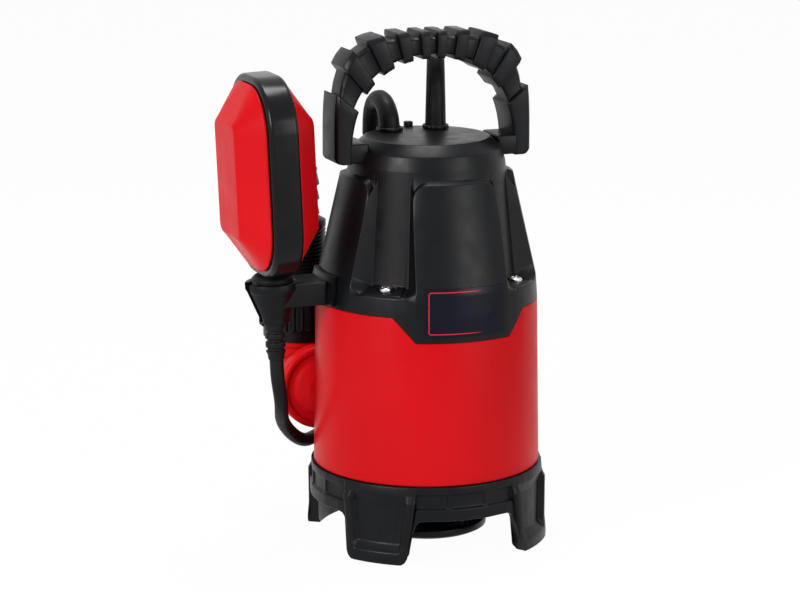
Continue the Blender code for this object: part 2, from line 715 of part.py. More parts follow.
def build_glands(parent, materials):
    for name, side in (("float_gland_nut", -1), ("mains_gland_nut", 1)):
        collar = turned([
            (BOOT_RADIUS + BOOT_CLEARANCE, 0), (GLAND_RADIUS, 0), (GLAND_RADIUS, GLAND_HEIGHT - 1.2),
            (GLAND_RADIUS - 0.8, GLAND_HEIGHT), (BOOT_RADIUS + BOOT_CLEARANCE, GLAND_HEIGHT),
        ], 16)
        place = (side * GLAND_OFFSET[0], GLAND_OFFSET[1], DISC_HEIGHT + GAP)
        add_object(name, collar, materials["black_plastic"], parent, place)


# --------------------------------------------------------------------------- outlet


def build_outlet(parent, nut_body, materials):
    nut_low = OUTLET_HEIGHT + NUT_LIFT
    riser_top = nut_low + RISER_RISE

    # Union nut with its ribs, turning on the riser.
    sink = 1.3
    ribs = []
    for number in range(NUT_RIBS):
        start = 360.0 * number / NUT_RIBS
        for share, radius in ((0.0, NUT_RADIUS - sink), (0.15, NUT_RADIUS), (0.5, NUT_RADIUS),
                              (0.65, NUT_RADIUS - sink)):
            ribs.append(polar(radius, start + share * 360.0 / NUT_RIBS))
    rib_low, rib_high = 7.5, NUT_HEIGHT - 2.0
    nut = add_object("coupling_nut", prism(ribs, rib_low, rib_high), materials["black_plastic"], nut_body)
    core = turned([
        (0, 0), (NUT_RADIUS - 0.6, 0), (NUT_RADIUS + 0.4, 1.2), (NUT_RADIUS + 0.4, rib_low - 1.5),
        (NUT_RADIUS - sink - 0.3, rib_low + 0.6), (NUT_RADIUS - sink - 0.3, rib_high - 0.5),
        (NUT_RADIUS - 3.4, NUT_HEIGHT), (0, NUT_HEIGHT),
    ], 24)
    shape_with(nut, "nut_core", core, "UNION")
    shelf = NUT_HEIGHT - 5.0
    hollow = turned([
        (0, -5), (RISER_RADIUS + 3.2, -5), (RISER_RADIUS + 3.2, shelf), (RISER_RADIUS + 0.5, shelf),
        (RISER_RADIUS + 0.5, NUT_HEIGHT + 5), (0, NUT_HEIGHT + 5),
    ], 20)
    shape_with(nut, "nut_hollow", hollow)

    # Gasket and hose tail, clamped under the nut's lip.
    place = (OUTLET_X, RISER_Y, 0)
    flange_low = riser_top + GAP + 2.6
    gasket = turned(ring_outline(RISER_BORE + 2, RISER_RADIUS + 2, riser_top + GAP, flange_low - GAP), 18)
    add_object("hose_tail_gasket", gasket, materials["black_rubber"], parent, place)
    flange_top = nut_low + shelf - GAP
    tail_top = nut_low + NUT_HEIGHT + TAIL_RISE
    barb_low = tail_top - 30.0
    outline = [
        (RISER_BORE, flange_low), (RISER_RADIUS + 2.4, flange_low), (RISER_RADIUS + 2.4, flange_top),
        (RISER_RADIUS, flange_top), (RISER_RADIUS, barb_low - 3), (BARB_RADIUS + 1, barb_low - 1.5),
    ]
    for number in range(3):
        low = barb_low + number * 9.4
        outline += [(BARB_RADIUS - 1.6, low), (BARB_RADIUS, low + 1.2), (BARB_RADIUS - 1.6, low + 8.8)]
    outline += [(BARB_RADIUS - 1.2, tail_top), (RISER_BORE, tail_top)]
    add_object("hose_tail", turned(outline, 20), materials["black_plastic"], parent, place)


# --------------------------------------------------------------------------- pump and motor


def build_pump_chamber(parent, materials):
    """The suction cover under the impeller and the volute round it."""
    deck = ARCH_HEIGHT + DECK_THICKNESS + GAP
    plate = [
        (EYE_RADIUS, deck), (CHAMBER_RADIUS, deck), (CHAMBER_RADIUS, deck + 2.7),
        (EYE_RADIUS + 3, deck + 2.7), (EYE_RADIUS + 1, deck + 4.2), (EYE_RADIUS, deck + 4.2),
    ]
    add_object("wear_plate", turned(plate, 24), materials["black_plastic"], parent)
    low = deck + 2.7 + GAP
    top = low + CHAMBER_HEIGHT
    wall = 3.0
    outline = [
        (CHAMBER_RADIUS - wall, low), (CHAMBER_RADIUS, low), (CHAMBER_RADIUS, top - 4),
        (CHAMBER_RADIUS - 4, top),
        (9, top), (9, top - wall), (CHAMBER_RADIUS - 5, top - wall), (CHAMBER_RADIUS - wall, top - 6),
    ]
    chamber = add_object("pump_chamber", turned(outline, 24), materials["red_plastic"], parent)
    port = block((-12, CHAMBER_RADIUS - 12, low + 5), (12, CHAMBER_RADIUS + 12, top - 7))
    shape_with(chamber, "chamber_port", moved(port, turn=35))
    return top


def build_impeller(rotor, materials):
    """Open impeller: hub, back shroud and backward-curved vanes."""
    low = ARCH_HEIGHT + DECK_THICKNESS + 8.0
    shroud = low + 14.0
    bore = SHAFT_END_RADIUS + GAP
    outline = [
        (bore, low), (9, low), (11, shroud - 3), (IMPELLER_RADIUS, shroud), (IMPELLER_RADIUS, shroud + 2),
        (14, shroud + 2.4), (9, shroud + 5), (bore, shroud + 5),
    ]
    impeller = add_object("impeller", turned(outline, 24), materials["white_plastic"], rotor)
    vanes = []
    for number in range(IMPELLER_VANES):
        start = 360.0 * number / IMPELLER_VANES
        shares = np.linspace(0, 1, 5)
        face = [polar(lerp(9.5, IMPELLER_RADIUS - 1, s), start - 75 * s**0.8) for s in shares]
        back = [polar(lerp(9.5, IMPELLER_RADIUS - 1, s),
                      start - 75 * s**0.8 - lerp(14, 3.6, s)) for s in shares]
        vanes.append(prism(face + back[::-1], low + 1, shroud + 0.8))
    shape_with(impeller, "impeller_vanes", merged(vanes), "UNION")
    hexagon = [polar(8.0, 60 * k) for k in range(6)]
    nut = add_object("impeller_nut", prism(hexagon, low - 5, low - GAP), materials["steel"], rotor)
    bored = turned([(0, low - 8), (bore, low - 8), (bore, low + 3), (0, low + 3)], 16)
    shape_with(nut, "nut_bore", bored)


def build_motor(parent, rotor, chamber_top, materials):
    bore = SHAFT_RADIUS + 0.4
    seal_low = chamber_top + GAP
    add_object("seal_plate", turned(ring_outline(13.3, CAN_RADIUS - 3, seal_low, seal_low + 4.7), 22),
               materials["black_plastic"], parent)
    add_object("shaft_seal", turned(ring_outline(bore, 13, seal_low, seal_low + 4.5), 16),
               materials["black_rubber"], parent)

    # Can with the bearings, stator and rotor
    can_low = seal_low + 5.0
    can_top = can_low + STATOR_LENGTH + 72.0
    wall = CAN_RADIUS - CAN_WALL
    can = [
        (bore + 1, can_low), (CAN_RADIUS, can_low), (CAN_RADIUS, can_top), (wall, can_top),
        (wall, can_low + 1.4), (bore + 1, can_low + 1.4),
    ]
    add_object("motor_can", turned(can, 28), materials["steel"], parent)
    seat = can_low + 1.7
    add_object("lower_bearing", turned(ring_outline(bore, 16, seat, seat + 9), 16), materials["steel"],
               parent)
    carrier = [(16.3, seat), (wall - GAP, seat), (wall - GAP, seat + 3), (20, seat + 3), (19, seat + 9),
               (16.3, seat + 9)]
    add_object("bearing_carrier", turned(carrier, 20), materials["white_plastic"], parent)

    stack_low = seat + 31.0
    stack_top = stack_low + STATOR_LENGTH
    air_gap = 0.8
    stator = add_object(
        "stator_core", turned(ring_outline(ROTOR_RADIUS + air_gap, wall - GAP, stack_low, stack_top), 24),
        materials["core_steel"], parent,
    )
    slots = [
        moved(block((ROTOR_RADIUS - 4, -2.2, stack_low - 4), (wall - 7, 2.2, stack_top + 4)),
              turn=360 * k / STATOR_SLOTS)
        for k in range(STATOR_SLOTS)
    ]
    shape_with(stator, "stator_slots", merged(slots))
    for name, low, high in (("winding_bottom", stack_low - 17, stack_low - GAP),
                            ("winding_top", stack_top + GAP, stack_top + 17)):
        outline = [(ROTOR_RADIUS + 5, low + 4), (ROTOR_RADIUS + 9, low), (wall - 7, low), (wall - 3, low + 4),
                   (wall - 3, high - 4), (wall - 7, high), (ROTOR_RADIUS + 9, high),
                   (ROTOR_RADIUS + 5, high - 4)]
        add_object(name, turned(outline, 18), materials["copper"], parent)

    # Rotor
    shaft_low = ARCH_HEIGHT + DECK_THICKNESS + 2.0
    shoulder = seal_low - 1.2
    shaft_top = can_top - 6.0
    shaft = [(0, shaft_low), (SHAFT_END_RADIUS, shaft_low), (SHAFT_END_RADIUS, shoulder),
             (SHAFT_RADIUS, shoulder),
             (SHAFT_RADIUS, shaft_top), (0, shaft_top)]
    add_object("rotor_shaft", turned(shaft, 16), materials["steel"], rotor)
    add_object("rotor_core", turned(ring_outline(SHAFT_RADIUS + GAP, ROTOR_RADIUS, stack_low, stack_top), 22),
               materials["core_steel"], rotor)

    # Upper bearing in the end plate, and what is wired on top of it
    collar = can_top - 15.0
    add_object("upper_bearing", turned(ring_outline(bore, 14, collar, collar + 9), 16),
               materials["steel"], parent)
    plate = [(14.3, collar), (18, collar), (18, can_top - 4), (wall - GAP, can_top - 4),
             (wall - GAP, can_top - 1),
             (10, can_top - 1), (10, collar + 9.3), (14.3, collar + 9.3)]
    add_object("motor_end_plate", turned(plate, 22), materials["white_plastic"], parent)
    seat = can_top - 1 + GAP
    capacitor = [(0, 0), (14, 0), (14, 32), (12.6, 33.5), (0, 33.5)]
    add_object("run_capacitor", turned(capacitor, 16), materials["white_plastic"], parent, (-14, -16, seat))
    terminals = block((4, -18, 0), (32, -4, 11))
    terminal_block = add_object("terminal_block", terminals, materials["white_plastic"], parent, (0, 0, seat))
    grooves = [block((4 + 7 * k - 0.8, -20, 6), (4 + 7 * k + 0.8, -2, 13)) for k in (1, 2, 3)]
    shape_with(terminal_block, "terminal_grooves", merged(grooves))

    # A plate round the can closes the water jacket under the screw posts.
    jacket = CASING_TOP - TONGUE_DROP - 4.0
    closing = casing_radius(jacket) - CASING_WALL - GAP - 0.3
    add_object("jacket_plate", turned(ring_outline(CAN_RADIUS + 2.6, closing, jacket, jacket + 3.5), 28),
               materials["black_plastic"], parent)
    add_object("jacket_o_ring", turned(ring_outline(CAN_RADIUS + GAP, CAN_RADIUS + 2.3, jacket,
                                                    jacket + 3.5), 28),
               materials["black_rubber"], parent)


# --------------------------------------------------------------------------- float


def rounded_outline(width, height, corner, points=5):
    """A rounded rectangle in the float's YZ plane, points on each corner."""
    outline = []
    for k, (y, z) in enumerate(((1, 1), (-1, 1), (-1, -1), (1, -1))):
        centre = (y * (width / 2 - corner), z * (height / 2 - corner))
        for turn in np.linspace(90 * k, 90 * k + 90, points):
            spot = polar(corner, turn)
            outline.append((centre[0] + spot[0], centre[1] + spot[1]))
    return outline


def float_ring(x, inset, top_extra=0.0):
    """The float's outline at thickness x, drawn in by an inset, more so at its lower end."""
    corner = max(6.0, FLOAT_CORNER - inset * 0.75)
    outline = rounded_outline(FLOAT_WIDTH - 2 * inset, FLOAT_HEIGHT - 2 * inset, corner)
    return [(x, y, z - top_extra) for y, z in outline]


def build_float(body, materials):
    seat = BAND_DEPTH + GAP
    edge = BAND_WIDTH / 2
    face = FLOAT_THICKNESS / 2
    bevel = 19.0

    def half_shell(side, wall):
        """Rings from the seam out to the flat face, moved inwards by the wall."""
        inset = wall
        rings = [
            (GAP / 2, seat + inset), (edge, seat + inset), (edge + GAP, 3.4 + inset),
            (edge + 1.6, 3.0 + inset), (face - 2.2 - wall, bevel - 1.4 + inset * 0.6),
            (face - wall, bevel + 1.6 + inset * 0.6),
        ]
        if wall:
            rings[2] = (edge + GAP, seat + inset)
        return [float_ring(side * x, inset_here) for x, inset_here in rings]

    for name, side in (("float_shell_outer", -1), ("float_shell_inner", 1)):
        outside = half_shell(side, 0.0)
        inside = half_shell(side, FLOAT_WALL)
        shell = skinned(outside[::-1] + inside, closed=False)
        add_object(name, shell, materials["red_plastic"], body)

    band_lines = [
        (-edge, BAND_DEPTH), (-edge, 1.6), (-edge + 1.6, 0.0), (edge - 1.6, 0.0), (edge, 1.6),
        (edge, BAND_DEPTH),
    ]
    band_rows = [float_ring(x, inset) for x, inset in band_lines]
    band = add_object("float_band", skinned(band_rows, closed=True), materials["glossy_black"], body)

    # Neck: a plug that sits in the holder's funnel, then a ribbed sleeve round the lead.
    top = -FLOAT_HEIGHT / 2 - GAP
    tip = -FLOAT_HEIGHT / 2 - 33.0
    outline = [(0, top), (NECK_RADIUS - 2, top), (NECK_RADIUS, top - 2.0), (NECK_RADIUS, top - 4.0),
               (SLEEVE_RADIUS + 0.4, tip + 3.0), (SLEEVE_RADIUS, tip)]
    for number in range(3):
        rib = tip - number * SLEEVE_LENGTH / 3.4
        outline += [(SLEEVE_RADIUS, rib - 3.4), (SLEEVE_RADIUS - 1.3, rib - 3.8),
                    (SLEEVE_RADIUS - 1.3, rib - 5.6),
                    (SLEEVE_RADIUS - 0.1, rib - 5.88)]
    outline += [(SLEEVE_RADIUS - 0.6, tip - SLEEVE_LENGTH), (0, tip - SLEEVE_LENGTH)]
    add_object("float_neck", turned(outline, 14), materials["black_rubber"], body)

    # Inside: the switch on the lower end, a ball that runs in its tube, and the ballast.
    tube_low, tube_high = -38.0, 8.0
    tube = [(0, tube_low), (11, tube_low), (11, tube_high), (8.6, tube_high), (8.6, tube_low + 14),
            (0, tube_low + 14)]
    add_object("switch_housing", turned(tube, 18), materials["white_plastic"], body)
    add_object("float_ballast", turned(ring_outline(12.0, 15.5, tube_low, tube_low + 16), 18),
               materials["core_steel"], body)
    return band


def build_switch_ball(body, materials):
    bm = bmesh.new()
    bmesh.ops.create_uvsphere(bm, u_segments=12, v_segments=8, radius=7.8)
    add_object("switch_ball", bm, materials["steel"], body)


def build_float_holder(parent, materials):
    """A pad on the cover, an arm and a slotted funnel that the float's neck drops into."""
    arm_low, arm_high = LEDGE_HEIGHT - 12.5, LEDGE_HEIGHT + 5.5
    lines = []
    for bearing in np.linspace(164, 196, 9):
        section = [(outer_radius(z) + extra, z) for z, extra in
                   ((arm_low - 1, 0.5), (LEDGE_HEIGHT, 0.5), (arm_high, 0.5), (arm_high, 3.0),
                    (arm_low - 1, 3.0))]
        lines.append([polar(r, bearing, z) for r, z in section])
    holder = add_object("float_holder", skinned(lines, closed=False), materials["black_plastic"], parent)

    axis_x = FLOAT_X + math.tan(math.radians(FLOAT_LEAN)) * (FLOAT_Z - LEDGE_HEIGHT)
    rim_z = FLOAT_Z - FLOAT_HEIGHT / 2 - 4.5
    low_z = FLOAT_Z - FLOAT_HEIGHT / 2 - 32.0
    arm = [(-outer_radius(LEDGE_HEIGHT) - 1.6, -17), (-outer_radius(LEDGE_HEIGHT) - 1.6, 17),
           (axis_x, 14.5), (axis_x, -14.5)]
    shape_with(holder, "holder_arm", prism(arm, arm_low, arm_high - 1.5), "UNION")
    rim, tip = NECK_RADIUS + 0.7 + FUNNEL_WALL, SLEEVE_RADIUS + 1.0 + FUNNEL_WALL
    funnel = turned([(0, low_z), (tip, low_z), (tip, low_z + 3), (rim, rim_z - 3), (rim, rim_z),
                     (0, rim_z)], 24)
    shape_with(holder, "holder_funnel", lean_at_float(funnel), "UNION")
    hollow = turned([
        (0, low_z - 5), (tip - FUNNEL_WALL, low_z - 5), (tip - FUNNEL_WALL, low_z + 3),
        (rim - FUNNEL_WALL, rim_z - 3), (rim - FUNNEL_WALL, rim_z + 8), (0, rim_z + 8),
    ], 24)
    shape_with(holder, "holder_hollow", lean_at_float(hollow))
    slot = FLOAT_LEAD_DIAMETER + 1.2
    opening = block((-30, -slot / 2, low_z - 6), (0, slot / 2, rim_z + 9))
    shape_with(holder, "holder_slot", lean_at_float(opening))
    return holder


def lean_at_float(bm):
    """Put a piece that was drawn round Z onto the float's own leaning axis."""
    centre = Vector((FLOAT_X, 0, FLOAT_Z))
    leaning = Matrix.Translation(centre) @ Matrix.Rotation(math.radians(-FLOAT_LEAN), 4, "Y")
    bmesh.ops.transform(bm, matrix=leaning @ Matrix.Translation((0, 0, -FLOAT_Z)), verts=bm.verts)
    return bm


# --------------------------------------------------------------------------- leads


def float_lead_route():
    """From the cover's gland, over and down the back, under the elbow and up into the float."""
    r = FLOAT_LEAD_DIAMETER / 2
    gland_x, gland_y = -GLAND_OFFSET[0], GLAND_OFFSET[1]
    bend = 17.0
    route = [(gland_x, gland_y, DISC_HEIGHT - 4.0)]
    for turn in (0, 30, 60, 90, 120, 150, 180):
        angle = math.radians(turn)
        route.append((gland_x, gland_y + bend * (1 - math.cos(angle)), DISC_HEIGHT + bend * math.sin(angle)))

    def beside(bearing, height, extra=0.0):
        return polar(outer_radius(height) + r + 1.2 + extra, bearing, height)

    route += [beside(103.5, PANEL_TOP - 3, 4.0), beside(103, LEDGE_HEIGHT + 30, 1.6),
              beside(102, LEDGE_HEIGHT, 2.4)]
    route += [beside(101, 140, 2.4), beside(101, 112, 1.6), beside(103, 84, 1.6), beside(108, 64, 1.2)]
    route += [beside(118, BASE_HEIGHT + 5.2, 1.0), beside(132, BASE_HEIGHT + 4.4, 1.0)]
    route += [beside(146, BASE_HEIGHT + 5.5, 2.2), beside(158, 61, 7.5), beside(168, 74, 14.5)]
    sleeve_end = FLOAT_HEIGHT / 2 + 33.0 + SLEEVE_LENGTH + GAP
    lean = math.radians(FLOAT_LEAN)
    for drop in (26.0, 13.0, 4.0, 0.0):
        reach = sleeve_end + drop
        sway = 2.2 * max(0.0, (drop - 10.0) / 16.0)
        route.append((FLOAT_X + math.sin(lean) * reach + sway, sway, FLOAT_Z - math.cos(lean) * reach))
    return route


def coil_frame():
    """Centre of the coil, the direction along its near side, and the direction away from the pump."""
    away = Vector((*polar(1.0, COIL_BEARING), 0))
    along = Vector((away.y, -away.x, 0))
    return away * COIL_DISTANCE, along, away


def coil_point(turn, radius, height):
    """A point of the coil; turn is in degrees, -90 lies nearest to the pump."""
    centre, along, away = coil_frame()
    angle = math.radians(turn)
    spot = centre + along * (radius * math.cos(angle)) + away * (radius * math.sin(angle))
    return spot + Vector((0, 0, height))


def coil_points():
    """Spiral in and out at a steady rate; each layer is climbed in the half turn round a reversal."""
    outer = COIL_INNER_RADIUS + COIL_TURNS * COIL_PITCH
    floor = MAINS_LEAD_DIAMETER / 2 + TIE_THICKNESS + GAP
    _, along, _ = coil_frame()
    points = [coil_point(-90, outer, floor) - along * MAINS_LEAD_DIAMETER]
    for step in range(COIL_TURNS * COIL_LAYERS * COIL_POINTS + 1):
        turns = step / COIL_POINTS
        place = (turns / COIL_TURNS) % 2.0
        radius = outer - COIL_TURNS * COIL_PITCH * (place if place <= 1 else 2 - place)
        reversal = round(turns / COIL_TURNS)
        climb = np.clip((turns - COIL_TURNS * reversal) * 2 + 0.5, 0.0, 1.0)
        level = max(0.0, reversal - 1 + climb)
        points.append(coil_point(-90 + 360 * turns, radius, floor + level * COIL_PITCH))
    return np.array(points)


def eased(share):
    share = min(1.0, max(0.0, share))
    return share * share * (3 - 2 * share)


def tail_points():
    """The lead's last stretch, from the top layer up onto the coil, ending in line with the plug."""
    outer = COIL_INNER_RADIUS + COIL_TURNS * COIL_PITCH
    top = MAINS_LEAD_DIAMETER / 2 + TIE_THICKNESS + GAP + (COIL_LAYERS - 1) * COIL_PITCH
    plug_rise = PLUG_RADIUS + MAINS_LEAD_DIAMETER / 2 + 2 * GAP - COIL_PITCH
    points = []
    for step in range(1, 17):
        turns = step / COIL_POINTS
        radius = outer - COIL_PITCH * turns - 22.0 * eased((turns - 0.2) / 0.5)
        rise = COIL_PITCH * min(1.0, 0.5 + 2 * turns) + plug_rise * eased((turns - 0.15) / 0.5)
        points.append(coil_point(-90 + 360 * turns, radius, top + rise))
    ahead = points[-1] - points[-2]
    ahead.z = 0
    ahead.normalize()
    for _ in range(2):
        points.append(points[-1] + ahead * MAINS_LEAD_DIAMETER)
    return np.array(points), ahead


def mains_lead_route():
    """Up out of the gland, over in an arch away from the front, and down behind the pump to the coil."""
    _, along, away = coil_frame()
    start = Vector((GLAND_OFFSET[0], GLAND_OFFSET[1], DISC_HEIGHT - 4.0))
    rise = 22.0
    bend = 36.0
    route = [start, start + Vector((0, 0, rise))]
    for turn in (25, 50, 75, 100, 125, 150, 175):
        angle = math.radians(turn)
        over = away * (bend * (1 - math.cos(angle)))
        route.append(start + over + Vector((0, 0, rise + bend * math.sin(angle))))

    # Places below are distances along the coil's near side and away from the pump.
    near = COIL_DISTANCE - COIL_INNER_RADIUS - COIL_TURNS * COIL_PITCH
    floor = MAINS_LEAD_DIAMETER / 2 + TIE_THICKNESS + GAP
    joint = -MAINS_LEAD_DIAMETER - GAP
    places = [
        (2, near + 11.5, 222), (-7, near + 9.5, 176), (-19, near + 6.5, 136), (-33, near + 3.5, 104),
        (-44, near + 1.5, 78), (-51, near + 0.3, 56), (-52.5, near, 38), (-50.4, near, 24.1),
        (-43.9, near, 14.1), (-33.9, near, floor + 2.4), (-21, near, floor), (joint, near, floor),
    ]
    route += [along * a + away * b + Vector((0, 0, z)) for a, b, z in places]
    return route


def cord_points(path, start, end, spacing, diameter):
    """A stretch of a path as a cord's points, with both ends straight for one diameter."""
    part = path_part(path, start, end)
    run = spline_points(part, spacing)
    slopes = headings(part)
    first = [part[0], part[0] + slopes[0] * diameter]
    last = [part[-1] - slopes[-1] * diameter, part[-1]]
    return np.vstack([first, run[1:-1], last])


def least_gap(points, diameter):
    """Least distance between the cord's own turns, measured on points half a turn or more apart."""
    apart = COIL_POINTS // 2
    least = math.inf
    for offset in range(apart, len(points) - 1):
        least = min(least, float(np.linalg.norm(points[offset:] - points[:-offset], axis=1).min()))
    return least - diameter


def build_leads(parent, materials):
    rubber = materials["black_rubber"]
    float_path = spline_points(float_lead_route(), 6.0)
    length = path_length(float_path)
    boot = path_part(float_path, 0.0, FLOAT_BOOT_LENGTH)
    radii = np.linspace(BOOT_RADIUS, FLOAT_LEAD_DIAMETER / 2 + 0.9, len(boot))
    add_object("float_lead_boot", swept(boot, radii), rubber, parent)
    cord = cord_points(float_path, FLOAT_BOOT_LENGTH + GAP, length, 17.0, FLOAT_LEAD_DIAMETER)
    add_cord("float_lead", cord, FLOAT_LEAD_DIAMETER, 2, rubber, parent)

    mains_path = spline_points(mains_lead_route(), 5.0)
    length = path_length(mains_path)
    boot = path_part(mains_path, 0.0, MAINS_BOOT_LENGTH)
    radii = np.linspace(BOOT_RADIUS, MAINS_LEAD_DIAMETER / 2 + 1.6, len(boot))
    add_object("mains_lead_boot", swept(boot, radii), rubber, parent)
    cord = cord_points(mains_path, MAINS_BOOT_LENGTH + GAP, length, 15.0, MAINS_LEAD_DIAMETER)
    add_cord("mains_lead_run", cord, MAINS_LEAD_DIAMETER, 2, rubber, parent)

    tail, ahead = tail_points()
    wound = np.vstack([coil_points(), tail])
    add_cord("mains_lead_coil", wound, MAINS_LEAD_DIAMETER, 1, rubber, parent)
    print(f"float lead {path_length(float_path):.0f} mm")
    print(f"mains lead {path_length(mains_path) + path_length(wound):.0f} mm")
    print(f"least gap between turns {least_gap(wound, MAINS_LEAD_DIAMETER):.2f} mm")
    build_plug(parent, wound[-1], ahead, materials)
    build_coil_tie(parent, materials)


def build_plug(parent, end, ahead, materials):
    """A round two-pin plug, its cord entering from behind, lying on the coil."""
    outline = [
        (0, GAP), (5.0, GAP), (6.4, 10.0), (8.5, 13.0), (13.0, 22.0), (PLUG_RADIUS - 1.1, 26.0),
        (PLUG_RADIUS, 30.0),
        (PLUG_RADIUS, 34.0), (0, 34.0),
    ]
    heading = math.degrees(math.atan2(ahead.y, ahead.x))

    def lay(bm):
        return moved(moved(bm, turn=90, axis="Y"), end, heading)

    add_object("mains_plug", lay(turned(outline, 20)), materials["black_rubber"], parent)
    for number, side in enumerate((-1, 1)):
        pin = turned([(0, 0), (2.4, 0), (2.4, 18.0), (1.4, 19.0), (0, 19.0)], 10)
        pin = moved(pin, (0, side * 9.5, 34.0 + GAP))
        add_object(f"plug_pin_{number + 1}", lay(pin), materials["brass"], parent)


def build_coil_tie(parent, materials):
    """A flat strap round the bundle on its far side."""
    clear = MAINS_LEAD_DIAMETER / 2 + GAP
    inner = COIL_INNER_RADIUS - clear - 0.4
    outer = COIL_INNER_RADIUS + COIL_TURNS * COIL_PITCH + clear + 0.4
    low = TIE_THICKNESS
    high = TIE_THICKNESS + GAP * 2 + MAINS_LEAD_DIAMETER + (COIL_LAYERS - 1) * COIL_PITCH + 0.3
    corner = 2.5

    def loop(extra):
        out = []
        for k, (r, z) in enumerate(((outer, high), (inner, high), (inner, low), (outer, low))):
            centre = (r - corner * (1 if r == outer else -1), z - corner * (1 if z == high else -1))
            for turn in np.linspace(90 * k, 90 * k + 90, 4):
                spot = polar(corner + extra, turn)
                out.append((centre[0] + spot[0], centre[1] + spot[1]))
        return out

    half = 3.0
    lines = []
    bearing = 90.0
    centre, along, away = coil_frame()
    for shift, extra in ((-half, 0.0), (-half, TIE_THICKNESS), (half, TIE_THICKNESS), (half, 0.0)):
        lines.append([coil_point(bearing, r, z) + along * shift for r, z in loop(extra)])
    add_object("coil_tie", skinned(lines, closed=True), materials["black_rubber"], parent)


# --------------------------------------------------------------------------- assembly


def stand_on_origin(root):
    """Shift the pump so that the middle of its own footprint, leads left out, is at the origin."""
    bpy.context.view_layer.update()
    graph = bpy.context.evaluated_depsgraph_get()
    low, high = Vector((9, 9, 9)), Vector((-9, -9, -9))
    for item in bpy.context.scene.objects:
        if item.type != "MESH" or item.hide_render or item.name in LEAD_NODES:
            continue
        shape = item.evaluated_get(graph)
        for vertex in shape.data.vertices:
            place = shape.matrix_world @ vertex.co
            low = Vector(map(min, low, place))
            high = Vector(map(max, high, place))
    root.location = (-(low.x + high.x) / 2, -(low.y + high.y) / 2, -low.z)
    print("pump's axis at", [round(value, 5) for value in root.location])
    print("size", [round(value, 4) for value in high - low])


LEAD_NODES = (
    "float_lead", "float_lead_boot", "mains_lead_run", "mains_lead_coil", "mains_lead_boot",
    "mains_plug", "plug_pin_1", "plug_pin_2", "coil_tie",
)


def main():
    clear_scene()
    materials = make_materials()
    root = add_empty("pump", None)
    rotor = add_empty("rotor", root)
    float_body = add_empty("float", root, (FLOAT_X, 0, FLOAT_Z), -FLOAT_LEAN)
    ball = add_empty("ball", float_body, (0, 0, -15.6))
    nut = add_empty("nut", root, (OUTLET_X, RISER_Y, OUTLET_HEIGHT + NUT_LIFT))

    build_pump_base(root, materials)
    build_suction_dish(root, materials)
    build_outer_casing(root, materials)
    build_top_cover(root, materials)
    build_rating_plate(root, materials)
    build_cover_screws(root, materials)
    build_carry_handle(root, materials)
    build_glands(root, materials)
    build_outlet(root, nut, materials)
    chamber_top = build_pump_chamber(root, materials)
    build_impeller(rotor, materials)
    build_motor(root, rotor, chamber_top, materials)
    build_float_holder(root, materials)
    build_float(float_body, materials)
    build_switch_ball(ball, materials)
    build_leads(root, materials)
    stand_on_origin(root)


main()
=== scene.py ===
# %% [markdown]
# # A sump pump, one surface at a time
# The pump is a red casing on four black feet, a black cover with a block grip handle, a float in a side
# holder, and two leads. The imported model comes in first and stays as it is. Every outer piece is then worked
# out again as a fine surface that takes the place of its plain counterpart.

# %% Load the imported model
import json
import math

import bmesh
import bpy
import numpy as np
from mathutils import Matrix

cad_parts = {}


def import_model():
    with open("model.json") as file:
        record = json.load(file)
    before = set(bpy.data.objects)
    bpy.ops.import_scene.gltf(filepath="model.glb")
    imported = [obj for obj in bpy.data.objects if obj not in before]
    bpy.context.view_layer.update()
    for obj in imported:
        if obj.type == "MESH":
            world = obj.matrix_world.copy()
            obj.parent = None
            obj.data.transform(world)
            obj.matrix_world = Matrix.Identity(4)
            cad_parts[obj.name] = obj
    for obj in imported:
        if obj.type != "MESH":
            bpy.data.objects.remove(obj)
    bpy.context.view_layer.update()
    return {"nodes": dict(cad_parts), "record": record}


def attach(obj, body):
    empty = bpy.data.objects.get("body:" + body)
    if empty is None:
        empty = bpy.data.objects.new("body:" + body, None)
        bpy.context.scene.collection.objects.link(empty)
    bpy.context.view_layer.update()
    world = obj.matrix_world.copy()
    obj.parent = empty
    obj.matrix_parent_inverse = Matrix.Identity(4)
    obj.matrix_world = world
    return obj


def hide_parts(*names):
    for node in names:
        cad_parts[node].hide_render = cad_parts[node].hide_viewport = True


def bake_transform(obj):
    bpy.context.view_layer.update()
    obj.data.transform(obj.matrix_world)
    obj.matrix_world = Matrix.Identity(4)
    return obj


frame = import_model()

# %% [markdown]
# All lengths below are millimetres from the pump's own upright axis, because that is how the pump was
# measured. Blender wants metres from the middle of the floor area, so one small function does that change for
# every piece. The float leans a little, and has a second function that leans whatever is drawn round it.

# %% Sizes and places
AXIS = np.array([28.21, -16.76, 0.0])
BASE_HEIGHT, CASING_TOP, LEDGE, PANEL_TOP, DISC, TOP = 48.0, 151.0, 165.0, 228.0, 249.8, 314.4
CASING_RADIUS, CASING_TAPER, DISC_RADIUS, DRUM_RADIUS = 69.8, 1.8, 38.0, 47.8
FLOAT_CENTRE, FLOAT_LEAN = np.array([-102.0, 0.0, 231.75]), math.radians(2.5)
OUTLET_X, OUTLET_HEIGHT, BARREL_Y, RISER_Y = -56.0, 88.5, 35.0, 80.0
BARREL_RADIUS, RISER_RADIUS, BORE = 18.5, 17.4, 11.0
LEDGE_RADIUS, PANEL_RADIUS, WALL = 67.0, 52.6, 2.8
GLAND_X, GLAND_Y, FLOAT_LEAD, MAINS_LEAD = 15.0, 24.0, 8.5, 7.5


def world(points):
    """Millimetres from the pump's axis, as metres in the shared frame."""
    return (np.asarray(points, float) + AXIS) * 0.001


